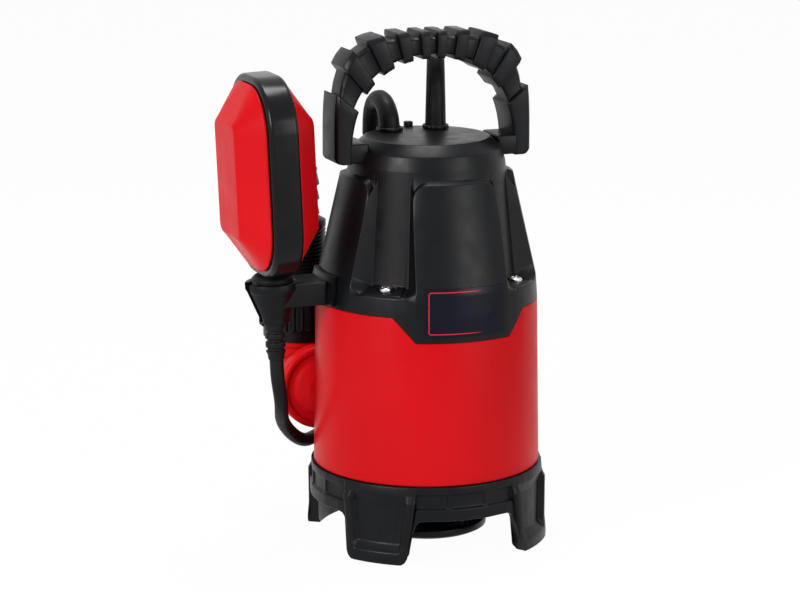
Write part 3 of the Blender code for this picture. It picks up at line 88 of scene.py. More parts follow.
def world_from_float(points):
    """The float's own millimetres: turned by the lean about Y, moved to its middle, then as world does."""
    x, y, z = np.moveaxis(np.asarray(points, float), -1, 0)
    c, s = math.cos(FLOAT_LEAN), math.sin(FLOAT_LEAN)
    return world(np.stack([c * x - s * z, y, s * x + c * z], axis=-1) + FLOAT_CENTRE)


print("axis of the pump, metres:", world([0, 0, 0]).tolist())

# %% [markdown]
# The camera stands to the front and left of the pump and looks down at about 13 degrees through a long lens,
# so upright edges stay nearly parallel. It comes first, because how much of the leads it sees settles where
# the rest of them is put away.

# %% Camera
camera_data = bpy.data.cameras.new("camera")
camera_data.lens = 126.0
camera_data.sensor_width = 36.0
camera = bpy.data.objects.new("camera", camera_data)
camera.location = (-0.5729, -1.5850, 0.523)
camera.rotation_euler = (math.radians(77.39), 0.0, math.radians(-20.42))
bpy.context.collection.objects.link(camera)
bpy.context.scene.camera = camera
print("camera at", tuple(camera.location))

# %% [markdown]
# Each finish is a short tree of nodes on one shader. Noise in Object coordinates stays put on the piece, and
# its scale is counted per metre, so 3000 gives grains of about a third of a millimetre. Whatever is the same
# all over is set on the shader itself.

# %% Helpers for finishes
FINISHES = {}


def new_finish(name, roughness, metallic=0.0, specular=0.5):
    """A new finish, filed under its name: its tree, its shader and a socket with Object coordinates."""
    made = bpy.data.materials.new(name)
    made.use_nodes = True
    tree = made.node_tree
    shader = tree.nodes["Principled BSDF"]
    shader.inputs["Roughness"].default_value = roughness
    shader.inputs["Metallic"].default_value = metallic
    shader.inputs["Specular IOR Level"].default_value = specular
    FINISHES[name] = made
    return tree, shader, tree.nodes.new("ShaderNodeTexCoord").outputs["Object"]


def noise(tree, coordinates, scale, detail=2.0, stretch=(1, 1, 1)):
    """Smooth random values from 0 to 1, stretched along an axis where that is wanted."""
    mapping = tree.nodes.new("ShaderNodeMapping")
    mapping.inputs["Scale"].default_value = stretch
    tree.links.new(coordinates, mapping.inputs["Vector"])
    node = tree.nodes.new("ShaderNodeTexNoise")
    node.inputs["Scale"].default_value = scale
    node.inputs["Detail"].default_value = detail
    tree.links.new(mapping.outputs["Vector"], node.inputs["Vector"])
    return node.outputs["Fac"]


def colour_between(tree, shader, share, dark, light):
    """Base colour: dark where share is 0.3, light where it is 0.7."""
    spread = tree.nodes.new("ShaderNodeValToRGB")
    spread.color_ramp.elements[0].position = 0.3
    spread.color_ramp.elements[0].color = (*dark, 1.0)
    spread.color_ramp.elements[1].position = 0.7
    spread.color_ramp.elements[1].color = (*light, 1.0)
    tree.links.new(share, spread.inputs["Fac"])
    tree.links.new(spread.outputs["Color"], shader.inputs["Base Color"])


def roughness_between(tree, shader, share, low, high):
    """Roughness: low where share is 0.3, high where it is 0.7."""
    spread = tree.nodes.new("ShaderNodeMapRange")
    for socket, value in (("From Min", 0.3), ("From Max", 0.7), ("To Min", low), ("To Max", high)):
        spread.inputs[socket].default_value = value
    tree.links.new(share, spread.inputs["Value"])
    tree.links.new(spread.outputs["Result"], shader.inputs["Roughness"])


def bump(tree, shader, height, depth, strength=1.0):
    """Tilts the surface as if height from 0 to 1 were depth millimetres of relief."""
    node = tree.nodes.new("ShaderNodeBump")
    node.inputs["Distance"].default_value = depth * 0.001
    node.inputs["Strength"].default_value = strength
    tree.links.new(height, node.inputs["Height"])
    previous = shader.inputs["Normal"].links
    if previous:
        tree.links.new(previous[0].from_socket, node.inputs["Normal"])
    tree.links.new(node.outputs["Normal"], shader.inputs["Normal"])


# %% [markdown]
# The casing and the float are red plastic straight from the mould: satin, very slightly mottled, with a faint
# orange peel that softens every reflection. The cover, the base and the handle are black plastic from a
# spark-eroded mould, which leaves an even fine grain that glitters where light falls on it.

# %% Moulded plastics
tree, shader, where = new_finish("red_plastic", 0.4, specular=0.07)
colour_between(tree, shader, noise(tree, where, 9.0), (0.490, 0.0032, 0.0062), (0.545, 0.0046, 0.0080))
roughness_between(tree, shader, noise(tree, where, 60.0, 4.0), 0.34, 0.44)
bump(tree, shader, noise(tree, where, 420.0, 2.0), 0.010)
bump(tree, shader, noise(tree, where, 3200.0, 2.0), 0.006)

tree, shader, where = new_finish("black_plastic", 0.38, specular=0.15)
grain = noise(tree, where, 2600.0, 3.0)
colour_between(tree, shader, grain, (0.0008, 0.0010, 0.0016), (0.0034, 0.0040, 0.0052))
roughness_between(tree, shader, noise(tree, where, 110.0, 5.0), 0.31, 0.43)
bump(tree, shader, noise(tree, where, 2300.0, 3.0), 0.030)

tree, shader, where = new_finish("glossy_black", 0.2, specular=0.16)
colour_between(tree, shader, noise(tree, where, 30.0), (0.0018, 0.0020, 0.0026), (0.0036, 0.0038, 0.0046))
roughness_between(tree, shader, noise(tree, where, 85.0, 5.0), 0.15, 0.27)
bump(tree, shader, noise(tree, where, 160.0, 3.0), 0.022)

tree, shader, where = new_finish("white_plastic", 0.45, specular=0.45)
colour_between(tree, shader, noise(tree, where, 25.0, 3.0), (0.70, 0.69, 0.65), (0.80, 0.79, 0.76))
bump(tree, shader, noise(tree, where, 1800.0), 0.012)
print("plastics:", sorted(FINISHES))

# %% [markdown]
# Rubber is duller and takes up a little dust. The plate is a film of dark ink with a thin red frame: its own
# UV map is in millimetres from the middle, so a frame is simply a band of distances from the edge.

# %% Rubber and plate
tree, shader, where = new_finish("black_rubber", 0.45, specular=0.13)
dust = noise(tree, where, 55.0, 5.0)
colour_between(tree, shader, dust, (0.0032, 0.0034, 0.0040), (0.0075, 0.0078, 0.0086))
roughness_between(tree, shader, noise(tree, where, 140.0, 4.0), 0.42, 0.58)
bump(tree, shader, noise(tree, where, 900.0, 3.0), 0.012)


def maths(tree, operation, first, second=None, third=None):
    """One step of arithmetic on sockets or plain numbers."""
    node = tree.nodes.new("ShaderNodeMath")
    node.operation = operation
    for slot, value in enumerate((first, second, third)):
        if isinstance(value, (int, float)):
            node.inputs[slot].default_value = value
        elif value is not None:
            tree.links.new(value, node.inputs[slot])
    return node.outputs["Value"]


def plate_frame(tree, half_width, half_height, inset, width, corner):
    """1 where the distance to a rounded rectangle is within half a width of it, fading from X 2.3 to 10."""
    uv = tree.nodes.new("ShaderNodeUVMap")
    split = tree.nodes.new("ShaderNodeSeparateXYZ")
    tree.links.new(uv.outputs["UV"], split.inputs["Vector"])
    reach = []
    for socket, half in (("X", half_width), ("Y", half_height)):
        off = maths(tree, "SUBTRACT", maths(tree, "ABSOLUTE", split.outputs[socket]), half - inset - corner)
        reach.append(maths(tree, "MAXIMUM", off, 0.0))
    squares = [maths(tree, "POWER", part, 2.0) for part in reach]
    far = maths(tree, "SQRT", maths(tree, "ADD", *squares))
    line = maths(tree, "LESS_THAN", maths(tree, "ABSOLUTE", maths(tree, "SUBTRACT", far, corner)), width / 2)
    fade = maths(tree, "MULTIPLY_ADD", split.outputs["X"], -0.13, 1.3)
    return maths(tree, "MULTIPLY", line, fade)


tree, shader, where = new_finish("dark_plate", 0.3, specular=0.12)
mix = tree.nodes.new("ShaderNodeMix")
mix.data_type = "RGBA"
mix.inputs["A"].default_value = (0.0022, 0.0030, 0.0085, 1.0)
mix.inputs["B"].default_value = (0.60, 0.0160, 0.0300, 1.0)
tree.links.new(plate_frame(tree, 25.6, 14.45, 2.0, 0.55, 1.2), mix.inputs["Factor"])
tree.links.new(mix.outputs["Result"], shader.inputs["Base Color"])
roughness_between(tree, shader, noise(tree, where, 90.0, 3.0), 0.24, 0.34)
bump(tree, shader, noise(tree, where, 700.0), 0.006)

# %% [markdown]
# Metals need little more than a varied roughness. Rolled and turned steel has fine lines along one direction,
# so the noise is stretched. A lamination stack and a winding show their layers, which waves stand in for.

# %% Metals
for name, dark, light, low, high in (
    ("steel", (0.50, 0.50, 0.51), (0.68, 0.68, 0.69), 0.16, 0.32),
    ("brass", (0.60, 0.40, 0.14), (0.74, 0.52, 0.22), 0.18, 0.34),
    ("copper", (0.62, 0.24, 0.11), (0.78, 0.34, 0.17), 0.25, 0.42),
    ("core_steel", (0.20, 0.21, 0.22), (0.33, 0.34, 0.36), 0.35, 0.55),
):
    tree, shader, where = new_finish(name, 0.3, metallic=1.0)
    colour_between(tree, shader, noise(tree, where, 140.0, 4.0), dark, light)
    roughness_between(tree, shader, noise(tree, where, 260.0, 4.0, (1, 1, 9)), low, high)
    if name in ("copper", "core_steel"):
        wave = tree.nodes.new("ShaderNodeTexWave")
        wave.bands_direction = "Z"
        wave.inputs["Scale"].default_value = 330.0
        wave.inputs["Distortion"].default_value = 1.2 if name == "copper" else 0.0
        tree.links.new(where, wave.inputs["Vector"])
        bump(tree, shader, wave.outputs["Fac"], 0.15 if name == "copper" else 0.04)
    else:
        bump(tree, shader, noise(tree, where, 900.0, 2.0, (1, 1, 6)), 0.006)
print("finishes:", sorted(FINISHES))

# %% [markdown]
# A CAD node whose shape stays as it is, such as the impeller or the motor's windings, still gets its finish:
# the record says which material slot each node belongs to.

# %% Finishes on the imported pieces
for entry in frame["record"]["subparts"]:
    node = frame["nodes"][entry["node"]]
    node.data.materials.clear()
    node.data.materials.append(FINISHES[entry["material_slot"]])

# %% [markdown]
# Every new piece is one or more grids of points. A grid has rows and columns, four neighbours make a face,
# and either direction may close on itself. Open ends are closed by a fan onto their middle, or by one flat
# face. Points that fall together, as at a pole, are merged, and the faces are then turned outwards.

# %% Grids to pieces
def grid_faces(rows, columns, close_rows, close_columns):
    """Corner numbers of all four-sided faces of a grid, as one array."""
    i = np.arange(rows if close_rows else rows - 1)[:, None]
    j = np.arange(columns if close_columns else columns - 1)[None, :]
    below, beside = (i + 1) % rows, (j + 1) % columns
    corners = (i * columns + j, i * columns + beside, below * columns + beside, below * columns + j)
    return np.stack(np.broadcast_arrays(*corners), axis=-1).reshape(-1, 4)


def shell(grid, close_rows=False, close_columns=True, ends=None):
    """Points and faces of a grid; ends is None, "fan" or "flat" for its first and last row."""
    grid = np.asarray(grid, float)
    if ends == "fan":
        middle = grid[[0, -1]].mean(axis=1, keepdims=True) + np.zeros_like(grid[[0, -1]])
        grid = np.concatenate([middle[:1], grid, middle[1:]])
    rows, columns = grid.shape[:2]
    faces = grid_faces(rows, columns, close_rows, close_columns).tolist()
    if ends == "flat":
        faces += [list(range(columns)), list(range((rows - 1) * columns, rows * columns))]
    return grid.reshape(-1, 3), faces


def piece(name, shells, slot, body="housing", place=world, sharp=42.0):
    """One finished object from its shells, riding on a body, in the finish of a material slot."""
    starts = np.cumsum([0] + [len(points) for points, _ in shells])
    points = place(np.vstack([points for points, _ in shells]))
    faces = [[corner + start for corner in face] for start, (_, part) in zip(starts, shells) for face in part]
    mesh = bpy.data.meshes.new(name)
    mesh.from_pydata(points.tolist(), [], faces)
    shape = bmesh.new()
    shape.from_mesh(mesh)
    bmesh.ops.remove_doubles(shape, verts=shape.verts, dist=2e-6)
    bmesh.ops.recalc_face_normals(shape, faces=shape.faces)
    shape.to_mesh(mesh)
    shape.free()
    mesh.shade_smooth()
    mesh.set_sharp_from_angle(angle=math.radians(sharp))
    mesh.materials.append(FINISHES[slot])
    made = bpy.data.objects.new(name, mesh)
    bpy.context.collection.objects.link(made)
    if body:
        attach(made, body)
    print(f"{name}: {len(mesh.polygons)} faces")
    return made


# %% [markdown]
# Real mouldings have no sharp corners. Instead of bevelling afterwards, the corners of a line are replaced by
# short curves while it is still a list of points. The same function works on a whole grid, along either of
# its directions, so a cut made twice rounds the edges that run both ways.

# %% Soft corners
def softened(lines, radius=0.8, steps=3, closed=False, axis=-2):
    """Corners to arcs (1-t)^2 a + 2t(1-t) corner + t^2 b, where a and b lie radius before and after it."""
    corner = np.moveaxis(np.asarray(lines, float), axis, -2)
    before, after = np.roll(corner, 1, axis=-2) - corner, np.roll(corner, -1, axis=-2) - corner

    def start(leg):
        length = np.linalg.norm(leg, axis=-1, keepdims=True)
        return corner + leg * np.minimum(radius, 0.45 * length) / np.maximum(length, 1e-9)

    t = np.linspace(0, 1, steps + 1)[:, None]
    a, b, c = start(before)[..., None, :], start(after)[..., None, :], corner[..., None, :]
    curve = (1 - t) ** 2 * a + 2 * t * (1 - t) * c + t**2 * b
    if not closed:
        curve[..., 0, :, :] = corner[..., 0, None, :]
        curve[..., -1, :, :] = corner[..., -1, None, :]
    shape = (*curve.shape[:-3], curve.shape[-3] * (steps + 1), curve.shape[-1])
    return np.moveaxis(curve.reshape(shape), -2, axis)


def polar(radius, degrees, height):
    """Points from a radius, a bearing in degrees and a height, all arrays that fit together."""
    angle = np.radians(degrees)
    return np.stack(np.broadcast_arrays(radius * np.cos(angle), radius * np.sin(angle), height), axis=-1)


def turned(outline, steps=72, centre=(0, 0, 0)):
    """A closed or axis-to-axis (radius, height) outline carried once round Z."""
    outline = np.asarray(outline, float)
    bearing = np.linspace(0, 360, steps, endpoint=False)[:, None]
    return polar(outline[None, :, 0], bearing, outline[None, :, 1]) + np.array(centre, float)


def turned_shell(outline, steps=72, centre=(0, 0, 0), tube=False):
    """The shell of such a shape; tube joins the outline's last point to its first."""
    return shell(turned(outline, steps, centre), close_rows=True, close_columns=tube)


# %% [markdown]
# The leads come before the housing, because their length has to fit the space behind the pump. A lead is a
# round section carried along one smooth line. The line is a natural cubic spline through a few places, the
# same spline that bent wood would follow, and the section's direction is passed on from point to point so
# that it never twists.

# %% Lines for the leads
def distances(points):
    """Distance along a line of points."""
    return np.concatenate([[0.0], np.cumsum(np.linalg.norm(np.diff(points, axis=0), axis=1))])


def spline(route, spacing):
    """Natural cubic spline through the route: the second derivatives solve one banded system."""
    knots = np.array(route, float)
    chord = distances(knots)
    step = np.diff(chord)
    system = np.eye(len(knots))
    inner = np.arange(1, len(knots) - 1)
    system[inner, inner - 1] = step[:-1]
    system[inner, inner] = 2 * (step[:-1] + step[1:])
    system[inner, inner + 1] = step[1:]
    slopes = np.diff(knots, axis=0) / step[:, None]
    target = np.zeros_like(knots)
    target[1:-1] = 6 * np.diff(slopes, axis=0)
    bend = np.linalg.solve(system, target)
    place = np.linspace(0, chord[-1], max(2, round(chord[-1] / spacing)) + 1)
    i = np.clip(np.searchsorted(chord, place, side="right") - 1, 0, len(knots) - 2)
    width = step[i][:, None]
    a = (chord[i + 1] - place)[:, None] / width
    b = 1 - a
    return a * knots[i] + b * knots[i + 1] + ((a**3 - a) * bend[i] + (b**3 - b) * bend[i + 1]) * width**2 / 6


def line_part(points, start, end, count):
    """count evenly spaced points between two distances along a line."""
    along = distances(points)
    at = np.linspace(start, end, count)
    return np.stack([np.interp(at, along, points[:, k]) for k in range(3)], axis=1)


def carried(line, radii, sides=16):
    """A circle carried along a line: point + radius (cos v side + sin v other), side passed on untwisted."""
    slope = np.gradient(line, distances(line), axis=0, edge_order=2)
    slope /= np.linalg.norm(slope, axis=1)[:, None]
    side = np.cross(slope[0], (0.31, 0.17, 0.93) if abs(slope[0][2]) < 0.9 else (1.0, 0.0, 0.0))
    sides_along = []
    for tangent in slope:
        side = side - tangent * side.dot(tangent)
        side /= np.linalg.norm(side)
        sides_along.append(side)
    side = np.array(sides_along)[:, None]
    other = np.cross(slope, side[:, 0])[:, None]
    v = np.linspace(0, math.tau, sides, endpoint=False)[None, :, None]
    return line[:, None] + np.asarray(radii, float)[:, None, None] * (np.cos(v) * side + np.sin(v) * other)


# %% [markdown]
# The float's lead comes out of the cover, arches backwards, runs down behind the casing and round under the
# outlet, and rises into the float's neck. It is seen, or hidden only by the pump, from end to end.

# %% Float lead
def outer_radius(z):
    """Radius of casing and cover at a height: two tapers that meet at the casing's upper edge."""
    radii = [CASING_RADIUS, CASING_RADIUS - CASING_TAPER, LEDGE_RADIUS, PANEL_RADIUS]
    return np.interp(z, [BASE_HEIGHT, CASING_TOP, LEDGE, PANEL_TOP], radii)


def beside(bearing, height, extra):
    """A place next to the housing, clear of it by the lead's radius, 1.2 mm and some more."""
    return polar(outer_radius(height) + FLOAT_LEAD / 2 + 1.2 + extra, bearing, height)


turn = np.radians([0, 30, 60, 90, 120, 150, 180])
over = polar(17 * (1 - np.cos(turn)), 90.0, 17 * np.sin(turn))
float_route = [(-GLAND_X, GLAND_Y, DISC - 4.0), *(over + (-GLAND_X, GLAND_Y, DISC))]
float_route += [beside(b, z, e) for b, z, e in (
    (103.5, 225, 4.0), (103, 195, 1.6), (102, 165, 2.4), (101, 140, 2.4), (101, 112, 1.6), (103, 84, 1.6),
    (108, 64, 1.2), (118, 53.2, 1.0), (132, 52.4, 1.0), (146, 53.5, 2.2), (158, 61, 7.5), (168, 74, 14.5))]
drop = np.array([26.0, 13.0, 4.0, 0.0])
sway = 2.2 * np.maximum(0, (drop - 10) / 16)
reach = 113.8 + drop
under = np.stack([math.sin(FLOAT_LEAN) * reach + sway, sway, -math.cos(FLOAT_LEAN) * reach], axis=1)
float_route += list(under + FLOAT_CENTRE)
float_line = spline(float_route, 6.0)
fine = spline(float_line, 3.0)
section = carried(fine, np.full(len(fine), FLOAT_LEAD / 2), 20)
float_lead = piece("float_cord", [shell(section, ends="fan")], "black_rubber", body=None)
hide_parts("float_lead")

# %% [markdown]
# Where a lead leaves the cover it runs through a tapered boot that keeps it from being bent sharply. The
# boot is a circle carried along the lead's own line with a larger, shrinking radius and a drawn-in end.

# %% Boots
def boot(name, line, length, start, end, node):
    """Radius falls evenly from start to end, and by 0.7 more at the last of its sections."""
    count = 40
    radii = np.linspace(start, end, count)
    radii[-1] -= 0.7
    section = carried(line_part(line, 0, length, count), radii, 36)
    made = piece(name, [shell(section, ends="fan")], "black_rubber")
    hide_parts(node)
    return made


float_boot = boot("float_boot", float_line, 66.0, 6.5, 5.15, "float_lead_boot")

# %% [markdown]
# The mains lead goes straight up through its boot, arches over behind the handle and comes down to the floor,
# where its whole spare length lies in a coil of four layers with three turns each. The coil is a spiral whose
# radius runs steadily in and out while its height goes up half a turn at a time.

# %% Mains lead
PITCH, PER_TURN, INNER, LAYER_TURNS, LAYERS = 8.0, 24, 42.0, 3, 4
COIL_BEARING, COIL_DISTANCE, STRAP, PLUG_RADIUS = math.radians(69), 155.5, 0.9, 17.6
away = np.array([math.cos(COIL_BEARING), math.sin(COIL_BEARING), 0.0])
along = np.array([away[1], -away[0], 0.0])
up = np.array([0, 0, 1.0])
coil_centre = away * COIL_DISTANCE
outer = INNER + LAYER_TURNS * PITCH
floor_level = MAINS_LEAD / 2 + STRAP + 0.3


def on_coil(degrees, radius, height):
    """A place on the coil: centre + along r cos a + away r sin a, at a height."""
    a = np.radians(degrees)[..., None]
    radius, height = np.asarray(radius)[..., None], np.asarray(height)[..., None]
    return coil_centre + along * (radius * np.cos(a)) + away * (radius * np.sin(a)) + height * up


def eased(share):
    """A smooth step: 3s^2 - 2s^3."""
    share = np.clip(share, 0, 1)
    return share * share * (3 - 2 * share)


turns = np.arange(LAYER_TURNS * LAYERS * PER_TURN + 1) / PER_TURN
phase = (turns / LAYER_TURNS) % 2.0
reversal = np.round(turns / LAYER_TURNS)
level = np.maximum(0, reversal - 1 + np.clip((turns - LAYER_TURNS * reversal) * 2 + 0.5, 0, 1))
winding_radius = outer - LAYER_TURNS * PITCH * np.minimum(phase, 2 - phase)
wound = on_coil(-90 + 360 * turns, winding_radius, floor_level + level * PITCH)
wound = np.vstack([wound[0] - along * MAINS_LEAD, wound])

# the last stretch climbs onto the coil and ends in line with the plug
past = np.arange(1, 17) / PER_TURN
climb = PLUG_RADIUS + MAINS_LEAD / 2 + 0.6 - PITCH
rise = (LAYERS - 1) * PITCH + PITCH * np.minimum(1, 0.5 + 2 * past) + climb * eased((past - 0.15) / 0.5)
tail_radius = outer - PITCH * past - 22 * eased((past - 0.2) / 0.5)
tail = on_coil(-90 + 360 * past, tail_radius, floor_level + rise)
ahead = (tail[-1] - tail[-2]) * np.array([1, 1, 0])
ahead /= np.linalg.norm(ahead)
tail = np.vstack([tail, tail[-1] + ahead * MAINS_LEAD, tail[-1] + ahead * 2 * MAINS_LEAD])

# from the gland: straight up, an arch, and down to where the first turn begins
start = np.array([GLAND_X, GLAND_Y, DISC - 4.0])
turn = np.radians([25, 50, 75, 100, 125, 150, 175])[:, None]
arch = start + away * (36 * (1 - np.cos(turn))) + up * (22 + 36 * np.sin(turn))
near = COIL_DISTANCE - outer
places = np.array([
    (2, 11.5, 222), (-7, 9.5, 176), (-19, 6.5, 136), (-33, 3.5, 104), (-44, 1.5, 78), (-51, 0.3, 56),
    (-52.5, 0, 38), (-50.4, 0, 24.1), (-43.9, 0, 14.1), (-33.9, 0, floor_level + 2.4),
    (-21, 0, floor_level), (-MAINS_LEAD - 0.3, 0, floor_level),
])
down = along * places[:, :1] + away * (near + places[:, 1:2]) + up * places[:, 2:]
mains_line = spline(np.vstack([start, start + 22 * up, arch, down]), 5.0)
whole = np.vstack([mains_line, wound, tail])
fine = spline(whole, 4.0)
section = carried(fine, np.full(len(fine), MAINS_LEAD / 2), 12)
mains_lead = piece("mains_cord", [shell(section, ends="fan")], "black_rubber")
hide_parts("mains_lead_run", "mains_lead_coil")
mains_boot = boot("mains_boot", mains_line, 52.0, 6.6, 5.35, "mains_lead_boot")

# %% [markdown]
# The plug lies on the coil with its cord entering from behind. Its grip is waisted and has fine ridges, and a
# two-pin plug of this kind is moulded in one with the lead. A flat strap holds the turns together.

# %% Plug and tie
def lay_plug(grid):
    """A shape drawn round Z, laid down so that Z points ahead from the lead's end."""
    x, y, z = np.moveaxis(np.asarray(grid, float), -1, 0)[..., None]
    left = np.array([-ahead[1], ahead[0], 0.0])
    return tail[-1] + z * ahead + y * left - x * up


plug_outline = [(0, 0.3), (5.0, 0.3), (6.4, 10), (8.5, 13), (13, 22), (16.5, 26)]
plug_outline += [(PLUG_RADIUS, 30), (PLUG_RADIUS, 34), (0, 34)]
grip = np.asarray(softened(plug_outline, 1.6, 4))
fine_z = np.linspace(0, 1, 8)[None, :, None]
grip = (grip[:-1, None] * (1 - fine_z) + grip[1:, None] * fine_z).reshape(-1, 2)
grip_grid = turned(grip, 72)
on_grip = (grip[:, 1] > 12) & (grip[:, 1] < 26) & (grip[:, 0] > 6)
ridge = 0.35 * np.sin(grip[:, 1] * math.tau / 2.0) * on_grip
grip_grid[..., :2] *= (1 + ridge / np.maximum(grip[:, 0], 1.0))[None, :, None]
plug = piece("plug_body", [shell(lay_plug(grip_grid), close_rows=True, close_columns=False)], "black_rubber")
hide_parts("mains_plug")
for number, side in enumerate((-1, 1)):
    outline = softened([(0, 34.3), (2.4, 34.3), (2.4, 52.3), (1.4, 53.3), (0, 53.3)], 0.6)
    grid = lay_plug(turned(outline, 28, (0, side * 9.5, 0)))
    pin = piece(f"pin_{number + 1}", [shell(grid, close_rows=True, close_columns=False)], "brass")
    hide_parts(f"plug_pin_{number + 1}")

low, high, half = STRAP, 33.6, 3.0
corners = np.array([(outer, high), (INNER, high), (INNER, low), (outer, low)])
strap = []
for extra in (0.0, STRAP):
    out = corners + extra * np.array([(1, 1), (-1, 1), (-1, -1), (1, -1)])
    strap.append(softened(out, 2.5 + extra, 8, closed=True))
tie_rows = [on_coil(np.full(len(line), 90.0), line[:, 0], line[:, 1]) + along * shift
            for shift, line in ((-half, strap[0]), (-half, strap[1]), (half, strap[1]), (half, strap[0]))]
tie = piece("strap", [shell(tie_rows, close_rows=True)], "black_rubber")
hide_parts("coil_tie")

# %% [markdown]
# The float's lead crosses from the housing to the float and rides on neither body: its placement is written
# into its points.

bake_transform(float_lead)

# %% [markdown]
# The cover is one moulding: a round lid, a short drum, and below it four proud panels that spread to the
# casing. Between them are four notches with a ledge and a sunk seat for a screw. Each column of the surface
# is one outline from the lid's middle down to the rim, and there are two kinds, panel and notch. Where a
# panel column stands next to a notch column the faces between them make the panel's side.

# %% Cover
def rim_height(bearing):
    """Lower edge of the cover: level, with a tongue 15 mm down the front between two slopes."""
    off = np.abs((bearing + 90.0 + 180.0) % 360.0 - 180.0)
    return CASING_TOP - 15.0 * (1 - np.clip((off - 26.0) / 12.0, 0, 1))


def cover_columns():
    """(is panel, middle bearing, share of the half width) of each column, as three arrays."""
    corner = [0.80, 0.84, 0.88, 0.92, 0.95, 0.975, 1]
    panel = np.array([-share for share in corner[::-1]] + list(np.linspace(-0.75, 0.75, 21)) + corner)
    notch = np.array([-1, -0.84, -0.80, -0.6, -0.43, -0.40, -0.2, 0, 0.2, 0.40, 0.43, 0.6, 0.80, 0.84, 1])
    kind = np.tile(np.repeat([1, 0], [len(panel), len(notch)]), 4)
    share = np.tile(np.concatenate([panel, notch]), 4)
    quarter = np.repeat(np.arange(4), len(panel) + len(notch))
    return kind == 1, 90.0 * quarter + 45.0 * (kind == 0), share


SEAT = LEDGE - 0.4


def drum_radius(height):
    """The drum widens by 0.1 mm for each millimetre down, and its wall goes on down between the panels."""
    return DRUM_RADIUS + 0.1 * (DISC - 14.8 - height)


def cover_grid(wall=0.0):
    """Bearing, radius and height of every key point, columns by levels, moved inwards by the wall."""
    is_panel, middle, share = (column[:, None] for column in cover_columns())
    half_width = math.radians(30) * (DRUM_RADIUS + 2.4)
    past = np.maximum(0, np.abs(share) * half_width - (half_width - 9.0))
    step = PANEL_TOP - np.where(is_panel, 9.0 - np.sqrt(np.maximum(81.0 - past**2, 0)), 0.0)
    rim = rim_height(middle + share * np.where(is_panel, 26.0, 13.0))

    # lid and drum are the same for both kinds of column, down to just above the panels' rounded tops
    ones = np.ones_like(step)
    upper_r = ones * np.array([0.0, 20.0, DISC_RADIUS, DRUM_RADIUS - 2.3, DRUM_RADIUS, 0.0])
    upper_z = ones * np.array([DISC, DISC, DISC, DISC - 6.3, DISC - 14.8, 0.0])
    upper_z[:, 5:] = step + 1.6
    upper_r[:, 5] = drum_radius(upper_z[:, 5])

    # the ledge falls outwards, lower at both sides, and a flat seat for the screw is sunk into its middle
    middle_z = [205 * ones, 188 * ones]
    ledge_r = np.array([54.6, 55.0, 55.2, 63.4, 63.8, 65.9])
    ledge_z = LEDGE + 1.9 - 0.29 * (ledge_r - 54.6) - 0.9 * (np.abs(share) > 0.82)
    seat = np.abs(share) < 0.42
    ledge_z[:, 2:4] = np.where(seat, SEAT, ledge_z[:, 2:4])
    slope = 7.0 * (65.9 - ledge_r) / 11.3
    panel_z = np.concatenate([step, *middle_z, LEDGE + slope * ones, (LEDGE - 4.5) * ones, rim], axis=1)
    panel_r = outer_radius(panel_z)
    back_z = np.concatenate([step, *middle_z], axis=1)
    notch_r = np.concatenate([drum_radius(back_z), ledge_r * ones, 67.2 * ones, outer_radius(rim)], axis=1)
    notch_z = np.concatenate([back_z, ledge_z, (LEDGE - 3.0) * ones, rim], axis=1)
    radius = np.concatenate([upper_r, np.where(is_panel, panel_r, notch_r)], axis=1)
    height = np.concatenate([upper_z, np.where(is_panel, panel_z, notch_z)], axis=1)

    share_up = np.clip((height - LEDGE) / (PANEL_TOP - LEDGE), 0, 1)
    spread = np.where(is_panel, 26.0 + 4.0 * share_up, 13.0)
    slim = math.degrees(wall / CASING_RADIUS) * np.where(is_panel, -1, 1)
    bearing = middle + share * (spread + slim)
    radius = np.maximum(radius - wall * (radius > 0), 0)
    lower = np.where(height > CASING_TOP, wall, 0.0)
    return polar(radius, bearing, height - lower)


outside = softened(softened(cover_grid(), 0.6, 3), 0.5, 3, closed=True, axis=0)
inside = np.repeat(softened(cover_grid(WALL), 0.3, 1), 4, axis=0)
grid = np.concatenate([outside, inside[:, ::-1]], axis=1)
cover_shell = shell(grid, close_rows=True, close_columns=False)
print("cover grid:", outside.shape[:2])

# %% [markdown]
# Small blocks turn up in several places, such as the lug on the lid and the handle's feet. A block with soft
# edges is a rounded rectangle whose inset follows a quarter circle at either end.

# %% Soft blocks
def soft_block(low, high, corner=1.2, edge=0.8, turn=0.0):
    """Rings of a rounded rectangle from low to high; the inset at an end is edge (1 - sin a)."""
    low, high = np.array(low, float), np.array(high, float)
    a = np.linspace(0, math.pi / 2, 4)
    inset = np.concatenate([edge * (1 - np.sin(a)), edge * (1 - np.sin(a[::-1]))])
    level = np.concatenate([low[2] + edge * (1 - np.cos(a)), high[2] - edge * (1 - np.cos(a[::-1]))])
    quarter = np.repeat(np.arange(4), 5)
    angle = np.radians(90 * quarter + np.tile(np.linspace(0, 90, 5), 4))
    sign = np.array([(1, 1), (-1, 1), (-1, -1), (1, -1)])[quarter]
    middle, half = (low[:2] + high[:2]) / 2, (high[:2] - low[:2]) / 2
    ring = (half - corner) * sign + corner * np.stack([np.cos(angle), np.sin(angle)], axis=-1)
    shrink = 1 - inset[:, None, None] / half
    rings = middle + ring[None] * shrink
    grid = np.concatenate([rings, np.broadcast_to(level[:, None, None], (*rings.shape[:2], 1))], axis=-1)
    c, s = math.cos(math.radians(turn)), math.sin(math.radians(turn))
    return shell(grid @ np.array([(c, s, 0), (-s, c, 0), (0, 0, 1)]), ends="fan")


lug = soft_block((-0.5, DISC_RADIUS - 3, DISC - 1.5), (4.5, DISC_RADIUS + 1.5, DISC + 3.0), 0.8, 0.6)
cover = piece("cover_moulding", [cover_shell, lug], "black_plastic")
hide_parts("top_cover")

